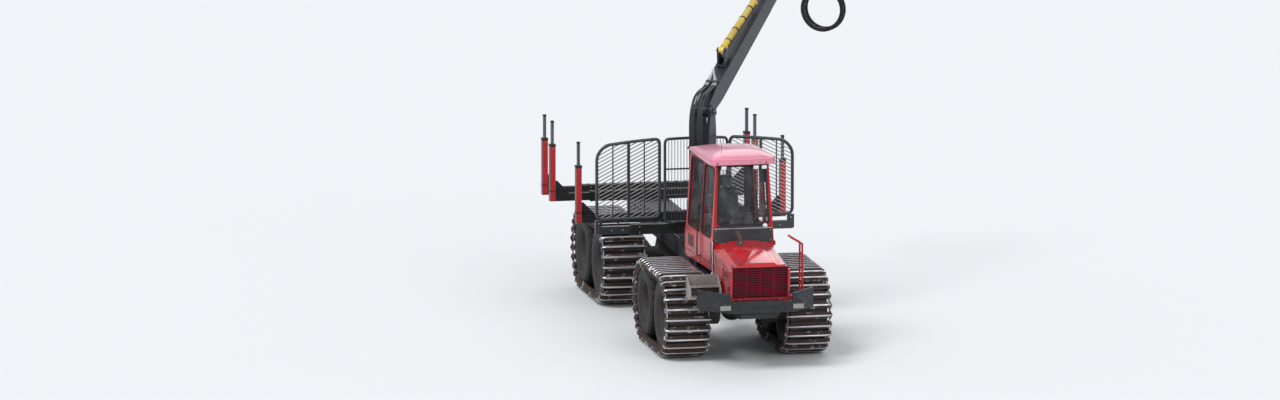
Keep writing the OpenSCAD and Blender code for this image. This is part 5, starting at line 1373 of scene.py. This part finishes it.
def step_treads():
    piece = Piece("step_treads", move(FRONT_AXLE_X + WHEEL_BASE / 2 + AXLE_Z + 0.048, 0, 0))
    for z, depth in ((1.23, 0.33), (1.395, 0.231)):
        for i in range(int(depth / 0.055)):
            for j in range(9):
                at = piece.frame @ move(0.045 + i * 0.055, -1.075 + j * 0.056 + (i % 2) * 0.028, z)
                piece.lathe([(0.016, -0.002), (0.014, 0.005), (0.009, 0.005), (0.007, 0.001)], CASTING, at,
                    10)
    for z in (1.42, 1.66, 1.9):
        for k in range(9):
            x = 0.075 + k * 0.022
            piece.box((x, x + 0.008), (0.842, 0.878), (z + 0.012, z + 0.0195), ZINC)
    piece.bolts([(x, -1.13, z) for x in (0.045, 0.29) for z in (1.2, 1.29)], (0, -1, 0), 0.01, ZINC)
    piece.finish("access_steps", bevel=0.001)


# Load space: headboards, stakes and bolsters

SIDE_X = -1.269
MIDDLE_X = -1.155
HEADBOARD_HALF_W = 1.775
PANEL_IN_Y = 0.6
PANEL_LOW_Z = 1.74
SLAT_PITCH = 0.066
SLAT_SLOPE = math.radians(27)
BUNK_XS = (-2.5, -4.86, -5.56)
STAKE_Y = 1.83
CRANE_X = -0.56
STAKE_CAP_Z = 2.54
STAKE_FOOT_Z = 1.9


def headboard_top(y):
    return 3.08 + 0.13 * (1 - (abs(y) / HEADBOARD_HALF_W) ** 2)


def panel_corners(inset):
    y0, y1 = PANEL_IN_Y + inset, HEADBOARD_HALF_W - inset
    tops = [(y1 - 0.15 - (y1 - 0.15 - y0) * k / 5) for k in range(6)]
    corners = [(y0, PANEL_LOW_Z + inset), (y1, PANEL_LOW_Z + inset), (y1, headboard_top(y1) - 0.15 - inset)]
    return corners + [(y, headboard_top(y) - inset) for y in tops]


def clip_line(corners, p, way):
    """Both ends of the stretch of a line inside a convex outline, or nothing where it is short."""
    low, high = -9.0, 9.0
    middle = sum((Vector(c) for c in corners), Vector((0, 0))) / len(corners)
    for a, b in zip(corners, corners[1:] + corners[:1]):
        a, b = Vector(a), Vector(b)
        edge = b - a
        inward = Vector((-edge.y, edge.x))
        if inward.dot(middle - a) < 0:
            inward = -inward
        rate, gap = inward.dot(way), inward.dot(p - a)
        if abs(rate) < 1e-9:
            if gap < 0:
                return None
        elif rate > 0:
            low = max(low, -gap / rate)
        else:
            high = min(high, -gap / rate)
    return (p + way * low, p + way * high) if high - low > 0.03 else None


def side_headboard(node, side):
    piece = Piece(node + "_finished")
    ring = rounded([Vector((SIDE_X, side * y, z)) for y, z in panel_corners(0.028)], 0.11, 5)
    piece.pipe([*ring, ring[0], ring[1]], 0.028, HEADBOARD_PAINT, 14)
    corners = panel_corners(0.034)
    way = Vector((-math.cos(SLAT_SLOPE), math.sin(SLAT_SLOPE)))
    for i in range(-10, 24):
        found = clip_line(corners, Vector((HEADBOARD_HALF_W, PANEL_LOW_Z + i * SLAT_PITCH + 0.008)), way)
        if found:
            start, end = (Vector((SIDE_X, side * p.x, p.y)) for p in found)
            at = facing(start, end - start, AHEAD)
            piece.box(span(0, 0.008), span(0, 0.009), (0, (end - start).length), SLAT_STEEL, at)
    for y, half_x, half_y in ((0.9, 0.012, 0.01), (1.18, 0.017, 0.025), (1.46, 0.012, 0.01)):
        low, high = clip_line(corners, Vector((y, PANEL_LOW_Z)), Vector((0, 1)))
        piece.box(span(SIDE_X, half_x), span(side * y, half_y), (low.y, high.y), HEADBOARD_PAINT)
    piece.box((-1.299, -1.181), (side * 0.38, side * 1.735), (1.5153, 1.649), HEADBOARD_PAINT)
    piece.box((-1.294, -1.244), (side * 1.655, side * 1.775), (1.5153, 1.7553), HEADBOARD_PAINT)
    piece.bolts([(-1.244, side * 1.715, z) for z in (1.545, 1.62, 1.7)], AHEAD, 0.012, ZINC)
    piece.bolts([(-1.181, side * y, 1.58) for y in (0.9, 1.3, 1.5)], AHEAD, 0.01, ZINC)
    piece.finish(node, bevel=0.003, angle=50, replaces=True)


def middle_headboard():
    piece = Piece("headboard_middle_finished")
    half = 0.555
    tops = [half * (1 - k / 4) for k in range(9)]
    corners = [(-half, 1.695), (half, 1.695), *((y, headboard_top(y) - 0.025) for y in tops)]
    ring = rounded([Vector((MIDDLE_X, y, z)) for y, z in corners], 0.1, 5)
    piece.pipe([*ring, ring[0], ring[1]], 0.025, HEADBOARD_PAINT, 14)
    for i in range(-10, 11):
        y = i * 0.054
        high = headboard_top(y) - (0.06 if abs(y) > 0.5 else 0.03)
        piece.rod((MIDDLE_X, y, 1.7), (MIDDLE_X, y, high), 0.006, HEADBOARD_PAINT, 8)
    for z in (2.175, 2.641):
        piece.rod((MIDDLE_X, -half, z), (MIDDLE_X, half, z), 0.015, HEADBOARD_PAINT, 12)
    piece.finish("headboard_middle", angle=50, replaces=True)
    feet = Piece("headboard_feet")
    for y in (-0.42, 0.42):
        feet.box((-1.18, -1.1), span(y, 0.035), (1.668, 1.7), HEADBOARD_PAINT)
        feet.bolt((-1.14, y, 1.7), UP, 0.012, ZINC)
    feet.finish("headboard_middle", bevel=0.002, segments=2)


def stake_paint_and_shade(face):
    p = face.calc_center_median()
    if p.z > STAKE_CAP_Z or p.z > STAKE_CAP_Z - 0.005 and face.calc_area() < 0.03:
        return 1
    if abs(p.y) < 1.77 and p.z < STAKE_FOOT_Z:
        return 2
    # Faces that face -Y get the dark grey as painted shade of that side.
    return 3 if face.normal.y < -0.7 else 0


def stakes():
    for node, side in (("stakes_left", 1), ("stakes_right", -1)):
        # The last stake grey slot is painted shade on the stakes' -Y faces; the first is the real grey of the
        # upper parts.
        dress(node, STAKE_RED, 0.006, stake_paint_and_shade, (STAKE_GREY, BLACK_PAINT, STAKE_GREY))
        piece = Piece(node + "_details")
        y = side * STAKE_Y
        for x in BUNK_XS:
            piece.box(span(x, 0.066), span(y, 0.056), (2.5, 2.534), BLACK_PAINT)
            piece.rod((x - 0.074, y, 2.46), (x + 0.074, y, 2.46), 0.012, ZINC, 12)
            piece.box(span(x, 0.066), span(y, 0.056), (1.69, 1.706), BLACK_PAINT)
            for k in range(4):
                for way in (-1, 1):
                    place = (x, y + way * 0.05, 1.86 + k * 0.15)
                    piece.ring([(0.017, -0.001), (0.017, 0.0015)], BLACK_PAINT, place, (0, way, 0), 16)
            piece.box(span(x, 0.034), span(y, 0.029), (2.925, 2.953), BLACK_PAINT)
            for z in (2.62, 2.74, 2.86):
                piece.ring([(0.01, -0.001), (0.01, 0.001)], BLACK_PAINT, (x + 0.03, y, z), AHEAD, 12)
        piece.finish(node, bevel=0.002)


def bolster_details():
    piece = Piece("bolster_details")
    for x in (*BUNK_XS, -1.24):
        for side in SIDES:
            rail = (side * 1.12, side * 1.152)
            piece.box(span(x, 0.087), rail, (1.494, 1.4995), BLACK_PAINT)
            piece.box(span(x, 0.086), rail, (1.67, 1.676), BLACK_PAINT)
            for u in (-1, 1):
                piece.box(span(x + u * 0.083, 0.004), rail, (1.494, 1.676), BLACK_PAINT)
                piece.bolts([(x + u * 0.08, side * 1.00, z) for z in (1.54, 1.63)], (u, 0, 0), 0.01, ZINC)
            piece.box(span(x, 0.1), span(side * 0.262, 0.006), (1.4, 1.4995), BLACK_PAINT)
            piece.bolts([(x + u, side * 0.268, 1.45) for u in (-0.075, 0.075)], (0, side, 0), 0.012, ZINC)
    for x in BUNK_XS:
        for k in range(14):
            piece.box(span(x, 0.05), span(-1.04 + k * 0.16, 0.018), (1.6695, 1.682), BLACK_PAINT)
    piece.finish("bolsters", bevel=0.002)


def rear_frame_details():
    piece = Piece("rear_frame_details")
    for side in SIDES:
        y = side * 0.26
        for z, material in ((1.4, ZINC), (1.365, HOSE), (1.33, HOSE)):
            line = ((-0.95, z), (-2.3, z + 0.004), (-3.2, z), (-4.6, z - 0.004), (-5.8, z))
            piece.pipe(curve_through([(u, side * 0.278, w) for u, w in line], 4), 0.011, material, 10)
        for i in range(9):
            x = -1.1 - i * 0.575
            piece.box(span(x, 0.02), (y, side * 0.294), (1.31, 1.418), BLACK_PAINT)
            piece.bolt((x, side * 0.294, 1.385), (0, side, 0), 0.008, ZINC)
        for x in (-1.6, -2.9, -4.4, -5.3):
            piece.box(span(x, 0.006), (y, side * 0.272), (1.075, 1.49), FRAME_PAINT)
        low, high = sorted((side * 0.1, side * 0.24))
        middle = (low + high) / 2
        piece.box((-5.975, -5.949), (low, high), (1.3, 1.42), BLACK_PLASTIC)
        piece.box((-5.98, -5.974), (low + 0.008, middle - 0.003), (1.308, 1.412), RED_LENS)
        piece.box((-5.98, -5.974), (middle + 0.003, high - 0.008), (1.308, 1.412), AMBER_LENS)
    foot = move(CRANE_X, 0, 0)
    piece.bolts(on(foot, circle(12, 0.252, 1.5585)), UP, 0.016, BLACK_PAINT)
    for x, y, z in circle(16, 0.275, 2.086, 0.5):
        piece.bolt((x + CRANE_X, y, z), (x, y, 0), 0.011, BLACK_PAINT)
    for z in (1.7, 1.95):
        collar = [(0.228, 0), (0.238, 0.005), (0.238, 0.018), (0.228, 0.023)]
        piece.lathe(collar, FRAME_PAINT, foot @ move(0, 0, z), 48, closed=True)
    for side in SIDES:
        for k in range(3):
            line = ((-0.42, 0.2, 1.6), (-0.4, 0.215, 1.75), (-0.42, 0.205, 1.92), (-0.46, 0.2, 2.02))
            line = [(x - 0.03 * k, side * (y + 0.012 * k), z) for x, y, z in line]
            piece.pipe(curve_through(line, 5), 0.012, HOSE, 10)
    piece.finish("rear_frame", bevel=0.002)


def joint_hoses():
    """Hoses over the steering joint."""
    path = ((0.5, 0, 0), (0.36, 0.03, 0.02), (0.18, 0.06, 0.05), (0.0, 0.07, 0.06), (-0.18, 0.06, 0.04),
        (-0.33, 0.03, 0.01))
    for k, (y, z) in enumerate(((-0.19, 1.235), (-0.155, 1.26), (0.155, 1.26), (0.19, 1.235))):
        out = 1 if y > 0 else -1
        piece = Piece("joint_hose_%d" % k)
        line = [(x, y + out * aside, z + rise) for x, aside, rise in path]
        piece.pipe(curve_through(line, 8), 0.014, HOSE, 12)
        piece.ring([(0.018, -0.03), (0.018, 0.02), (0.014, 0.03)], ZINC, line[0], (-1, 0, 0), 8)
        piece.blend("front_frame", "centre_joint", (0.36, 0, 1.2), (-0.24, 0, 1.2), angle=38)


def load_space():
    side_headboard("headboard_left", 1)
    side_headboard("headboard_right", -1)
    middle_headboard()
    stakes()
    bolster_details()
    rear_frame_details()
    joint_hoses()


# Crane: hoses, pins, clamps and ports

REST_SLEW, REST_LIFT, REST_FOLD, REST_LINK = 148, -25.5, 16.0, 9.5
PIVOT_Z = 3.75
INNER_LENGTH = 3.9
CRANE = move(CRANE_X, 0, 0) @ turn("Z", REST_SLEW)
INNER = CRANE @ move(0, 0, PIVOT_Z) @ turn("Y", REST_LIFT)
OUTER = INNER @ move(INNER_LENGTH, 0, 0) @ turn("Y", REST_FOLD)
TIP_REACH = 2.7
TIP = OUTER @ move(TIP_REACH, 0, 0) @ turn("Y", REST_LINK)


def between(frame, low, high):
    """A frame at low whose X axis points at high."""
    return frame @ move(low) @ turn("Y", -math.degrees(math.atan2(high.z - low.z, high.x - low.x)))


LIFT = between(CRANE, Vector((0.29, 0, 2.33)), CRANE.inverted() @ INNER @ Vector((0.34, 0, -0.262)))
JIB = between(INNER, Vector((1.25, 0, 0.435)), INNER.inverted() @ OUTER @ Vector((-0.352, 0, 0.142)))


def band(radius, proud, half, round_off):
    """The profile of a clamp round a tube."""
    return [(radius, -half), (radius + proud, round_off - half), (radius + proud, half - round_off), (radius,
        half)]


def hose_heights():
    """The row, place in it and height of the six hoses along the booms."""
    return [(k, j, 0.075 - k * 0.085 - j * 0.027) for k in range(2) for j in range(3)]


def pin_caps(piece, u, w, half, radius):
    """A keeper plate and bolt on both ends of a pin along the Y axis."""
    cap = [(radius * 0.92, -0.001), (radius * 0.92, 0.005), (radius * 0.8, 0.008)]
    for side in SIDES:
        end, out = Vector((u, side * half, w)), Vector((0, side, 0))
        piece.ring(cap, CASTING, end, out, 24)
        piece.bolt(end + out * 0.007, out, radius * 0.3, ZINC)
        piece.ring([(0.006, -0.001), (0.005, 0.012)], ZINC, end + Vector((radius * 0.6, 0, 0)), out, 8)


def pivot_hoses():
    """Two rows of three hoses that rise behind the pillar and pass over its top."""
    ferrule = [(0.017, -0.01), (0.018, 0.0), (0.018, 0.03), (0.0145, 0.036)]
    for k, middle in enumerate((0.092, -0.06)):
        piece = Piece("pivot_hoses_%d" % k)
        for j in range(3):
            v = middle + 0.03 * (1 - j)
            bulge = 0.012 * (j % 2) + 0.02 * k
            line = on(CRANE, [(-0.25, v, 2.995), (-0.262, v, 3.08), (-0.325 - bulge, v, 3.3), (-0.335 - bulge,
                v, 3.55), (-0.285 - bulge, v, 3.78), (-0.15 - bulge, v, 3.97 + bulge)])
            line += on(INNER, [(u, v * 0.9, w) for u, w in ((0.145, 0.285), (0.32, 0.235), (0.45, 0.197),
                (0.52, 0.194))])
            piece.pipe(curve_through(line, 8), 0.0135, HOSE, 10)
            piece.ring(ferrule, ZINC, line[0], UP, 8)
        piece.blend("crane_pillar", "inner_boom", CRANE @ Vector((-0.33, 0, 3.58)), INNER @ Vector((0.38, 0,
            0.22)))


def knuckle_hoses():
    """Six hoses that pass the knuckle on the right side."""
    pieces = [Piece("knuckle_hoses_%d" % k) for k in range(2)]
    for k, j, w in hose_heights():
        out = 0.168 + 0.01 * j
        line = on(INNER, [(3.2, 0.142, w), (3.42, 0.147, w), (3.66, out, w + 0.02), (3.86, out + 0.02,
            w + 0.015)])
        line += on(OUTER, [(0.14, out + 0.015, w), (0.34, 0.14, w), (0.52, 0.112, w), (0.66, 0.11, w)])
        pieces[k].pipe(curve_through(line, 8), 0.0125, HOSE, 10)
    for piece in pieces:
        piece.blend("inner_boom", "outer_boom", INNER @ Vector((3.62, 0.15, 0)), OUTER @ Vector((0.26, 0.15,
            0)))


def boom_details():
    piece = Piece("boom_details", INNER)
    ferrule = [(0.015, -0.03), (0.018, -0.02), (0.018, 0.03), (0.013, 0.036)]
    for k, j, w in hose_heights():
        v = (0.092 - k * 0.152 + 0.03 * (1 - j)) * 0.9
        shift = 0.05 * k
        line = [(0.5, v, 0.194), (0.6, v, 0.193), (0.8, v * 0.5 + 0.05, 0.19), (0.98 + shift, 0.118, 0.184),
            (1.08 + shift, 0.143, 0.13), (1.22 + shift, 0.143, w + 0.01), (1.5, 0.142, w), (2.6, 0.142, w),
            (3.22, 0.142, w)]
        piece.pipe(curve_through(line, 6), 0.0115, PIPE_STEEL, 10)
        piece.ring(ferrule, ZINC, (0.53, v, 0.194), AHEAD, 8)
    piece.box((0.6, 0.65), (-0.112, 0.122), (0.17, 0.21), BLACK_PLASTIC)
    for u in (1.45, 1.85, 2.3, 2.75, 3.18):
        piece.box(span(u, 0.022), (0.124, 0.16), (-0.085, 0.098), BLACK_PLASTIC)
        piece.bolts([(u, 0.16, w) for w in (-0.078, 0.004, 0.09)], (0, 1, 0), 0.008, ZINC)
    for side in SIDES:
        for way in (-1, 1):
            piece.pipe([(0.6, side * 0.122, way * 0.1775), (3.4, side * 0.122, way * 0.1485)], 0.006,
                CRANE_PAINT, 8)
    for pin in ((INNER_LENGTH, 0, 0.137, 0.04), (0, 0, 0.202, 0.04), (1.25, 0.435, 0.086, 0.028), (0.34,
            -0.262, 0.086, 0.03)):
        pin_caps(piece, *pin)
    for u, w in ((1.1, 0.2), (1.36, 0.2), (0.24, -0.16), (0.46, -0.17)):
        piece.box(span(u, 0.012), span(0, 0.078), span(w, 0.02), CRANE_PAINT)
    piece.finish("inner_boom", bevel=0.0015)


def jib_details():
    piece = Piece("jib_details", OUTER)
    piece.box((0.6, 0.84), (0.094, 0.132), (-0.09, 0.098), CRANE_PAINT)
    for _, _, w in hose_heights():
        piece.ring([(0.016, -0.03), (0.018, 0.0), (0.018, 0.02)], ZINC, (0.6, 0.112, w), (-1, 0, 0), 8)
    for u in (2.18, 2.292):
        for side in SIDES:
            piece.box((u - 0.02, u + 0.012), span(side * 0.0985, 0.005), span(0, 0.128), CRANE_PAINT)
        for w in (-0.1235, 0.1235):
            piece.box((u - 0.02, u + 0.012), span(0, 0.103), span(w, 0.005), CRANE_PAINT)
    for side in SIDES:
        for w in (-0.08, 0, 0.08):
            piece.bolt((2.24, side * 0.095, w), (0, side, 0), 0.012, ZINC)
            piece.bolt((0.95 + w, side * 0.095, -0.07), (0, side, 0), 0.01, ZINC)
        piece.pipe([(0.62, side * 0.093, 0.1185), (2.15, side * 0.093, 0.1185)], 0.005, CRANE_PAINT, 8)
    pin_caps(piece, -0.352, 0.142, 0.084, 0.028)
    piece.finish("outer_boom", bevel=0.0015)
    tip = Piece("extension_details", OUTER)
    pin_caps(tip, TIP_REACH, 0, 0.078, 0.025)
    tip.box((2.385, 2.408), span(0, 0.07), span(0, 0.085), BLACK_PAINT)
    for v in (-0.045, -0.015, 0.015, 0.045):
        tip.ring([(0.014, 0), (0.014, 0.03), (0.011, 0.035)], ZINC, (2.405, v, 0.045), AHEAD, 8)
    tip.finish("boom_extension", bevel=0.0015)


def tip_hoses():
    for k, side in enumerate((-1, 1)):
        upper, lower = Piece("link_hoses_%d" % k), Piece("rotator_hoses_%d" % k)
        for j in range(2):
            v = side * (0.092 + 0.024 * j)
            line = on(OUTER, [(2.43, side * 0.045, 0.045 - 0.03 * j), (2.5, side * 0.08, 0.05), (2.6, v,
                0.06), (2.7, v + side * 0.01, 0.02)])
            line += on(TIP, [(0.03, v, -0.1), (0.01, v - side * 0.02, -0.18), (0.0, v - side * 0.03, -0.26)])
            upper.pipe(curve_through(line, 8), 0.01, HOSE, 10)
            v -= side * 0.03
            line = [(0.0, v + side * out, w) for out, w in ((0, -0.255), (0.045, -0.32), (0.055, -0.38),
                (0.02, -0.44))]
            line = on(TIP, line)
            lower.pipe(curve_through(line, 8), 0.01, HOSE, 10)
            lower.ring([(0.013, -0.01), (0.013, 0.02)], ZINC, line[-1], line[-1] - line[-2], 8)
        upper.blend("boom_extension", "tip_link", OUTER @ Vector((2.58, 0, 0.05)), TIP @ Vector((0, 0,
            -0.16)))
        lower.blend("tip_link", "rotator", TIP @ Vector((0, 0, -0.24)), TIP @ Vector((0, 0, -0.36)))


def grapple_details():
    rotor = Piece("rotator_details", TIP)
    low = -0.56
    rotor.bolts(circle(10, 0.09, low + 0.18), UP, 0.009, ZINC)
    collar = [(0.114, 0), (0.119, 0.003), (0.119, 0.01), (0.114, 0.013)]
    for z in (0.02, 0.09, 0.155):
        rotor.lathe(collar, BLACK_PAINT, TIP @ move(0, 0, low + z), 40, closed=True)
    for side in SIDES:
        rotor.rod((side * 0.074, 0, low / 2), (side * 0.08, 0, low / 2), 0.022, CASTING, 20)
    rotor.finish("rotator", bevel=0.001)
    head = Piece("grapple_details", TIP)
    z = -0.8203
    for y in (-0.2, 0.2):
        for side in SIDES:
            head.ring([(0.023, -0.001), (0.023, 0.005), (0.018, 0.007)], CASTING, (side * 0.102, y, z), (side,
                0, 0), 20)
            head.bolt((side * 0.108, y, z), (side, 0, 0), 0.008, ZINC)
    head.bolts(circle(8, 0.115, z + 0.23, 0.5), (0, 0, -1), 0.009, ZINC)
    for side in SIDES:
        line = [(0.05, side * 0.06, z + 0.225), (0.085, side * 0.085, z + 0.19), (0.125, side * 0.1,
            z + 0.12), (0.118, side * 0.085, z + 0.055), (0.075, side * 0.05, z + 0.025)]
        head.pipe(curve_through(line, 6), 0.008, HOSE, 10)
    head.finish("grapple_head", bevel=0.001)
    for node, side, x in (("grapple_jaw_near", 1, 0.081), ("grapple_jaw_far", -1, 0.051)):
        jaw = Piece(node + "_details", TIP)
        angles = [math.radians(-100 + k * 9) for k in range(15)]
        arc = [(side * 0.396 * math.cos(a), z - 0.4 + 0.396 * math.sin(a)) for a in angles]
        for edge in (-x, x):
            jaw.pipe([(edge, v, w) for v, w in arc], 0.007, CASTING, 8)
        jaw.finish(node, angle=50)


def cylinder_details():
    lift = Piece("lift_barrel_details", LIFT)
    for u in (0.16, 0.78):
        lift.ring([(0.02, 0), (0.02, 0.025), (0.016, 0.03)], ZINC, (u, 0, -0.078), (0, 0, -1), 6)
    line = [(0.16, 0, -0.1), (0.19, 0.012, -0.112), (0.3, 0.02, -0.098), (0.6, 0.02, -0.096), (0.74, 0.012,
        -0.105), (0.78, 0, -0.1)]
    lift.pipe(curve_through(line, 5), 0.009, ZINC, 10)
    for u in (0.3, 0.55):
        lift.ring(band(0.081, 0.003, 0.012, 0.002), BLACK_PAINT, (u, 0, 0), AHEAD, 40, closed=True)
    lift.bolts([(0.95, v, w) for v, w, _ in circle(8, 0.066)], AHEAD, 0.008, ZINC)
    lift.finish("lift_barrel", bevel=0.001)
    jib = Piece("jib_barrel_details", JIB)
    for u in (0.32, 0.72, 1.12, 1.5):
        jib.ring(band(0.0605, 0.0035, 0.02, 0.003), BLACK_PAINT, (u, 0, 0), AHEAD, 36, closed=True)
        jib.box(span(u, 0.018), (-0.085, -0.058), span(0, 0.018), BLACK_PAINT)
    line = [(0.16, -0.055), (0.2, -0.078), (0.32, -0.078), (1.5, -0.078), (1.62, -0.078), (1.66, -0.06)]
    jib.pipe(curve_through([(u, v, 0) for u, v in line], 4), 0.01, BLACK_PAINT, 10)
    jib.bolts([(1.75, v, w) for v, w, _ in circle(8, 0.052)], AHEAD, 0.006, ZINC)
    jib.finish("jib_barrel", bevel=0.001)


def pillar_details():
    piece = Piece("pillar_details", CRANE)
    piece.bolts(circle(12, 0.25, 2.17), UP, 0.014, BLACK_PAINT)
    for i in range(7):
        z = 2.715 + i * 0.044
        piece.box((-0.318, -0.306), span(0, 0.128), span(z, 0.017), CASTING)
        for side in SIDES:
            piece.ring([(0.014, 0), (0.014, 0.018), (0.01, 0.022)], ZINC, (-0.25, side * 0.14, z), (0, side,
                0), 6)
    for j in range(5):
        v = -0.1 + j * 0.05
        line = [(-0.26, v, 2.68), (-0.262, v, 2.6), (-0.255, v, 2.45), (-0.235, v * 0.9, 2.3), (-0.215,
            v * 0.8, 2.2)]
        piece.pipe(curve_through(line, 5), 0.013, HOSE, 10)
    cap = [(0.075, -0.004), (0.075, 0.006), (0.062, 0.008), (0.062, -0.004)]
    for side in SIDES:
        for z in (2.45, 3.3):
            piece.box((-0.18, 0.14), span(side * 0.1915, 0.006), span(z, 0.012), CRANE_PAINT)
        corners = [(u, side * 0.19, z) for u, z in ((-0.14, 2.3), (0.13, 2.3), (-0.14, 3.18), (0.11, 3.18))]
        piece.bolts(corners, (0, side, 0), 0.012, ZINC)
        piece.ring(cap, CRANE_PAINT, (0.0, side * 0.1905, PIVOT_Z), (0, side, 0))
    pin_caps(piece, 0.29, 2.33, 0.086, 0.03)
    piece.box((-0.182, -0.16), span(0, 0.132), (3.46, 3.69), CRANE_PAINT)
    piece.box((-0.205, -0.06), (0.186, 0.214), (3.1, 3.135), BLACK_PLASTIC)
    piece.finish("crane_pillar", bevel=0.0015)


def crane():
    pillar_details()
    boom_details()
    jib_details()
    cylinder_details()
    pivot_hoses()
    knuckle_hoses()
    tip_hoses()
    grapple_details()


make_studio()
running_gear()
dress_plain_nodes()
cab()
front_end()
seat()
controls()
cab_outside()
step_treads()
load_space()
crane()
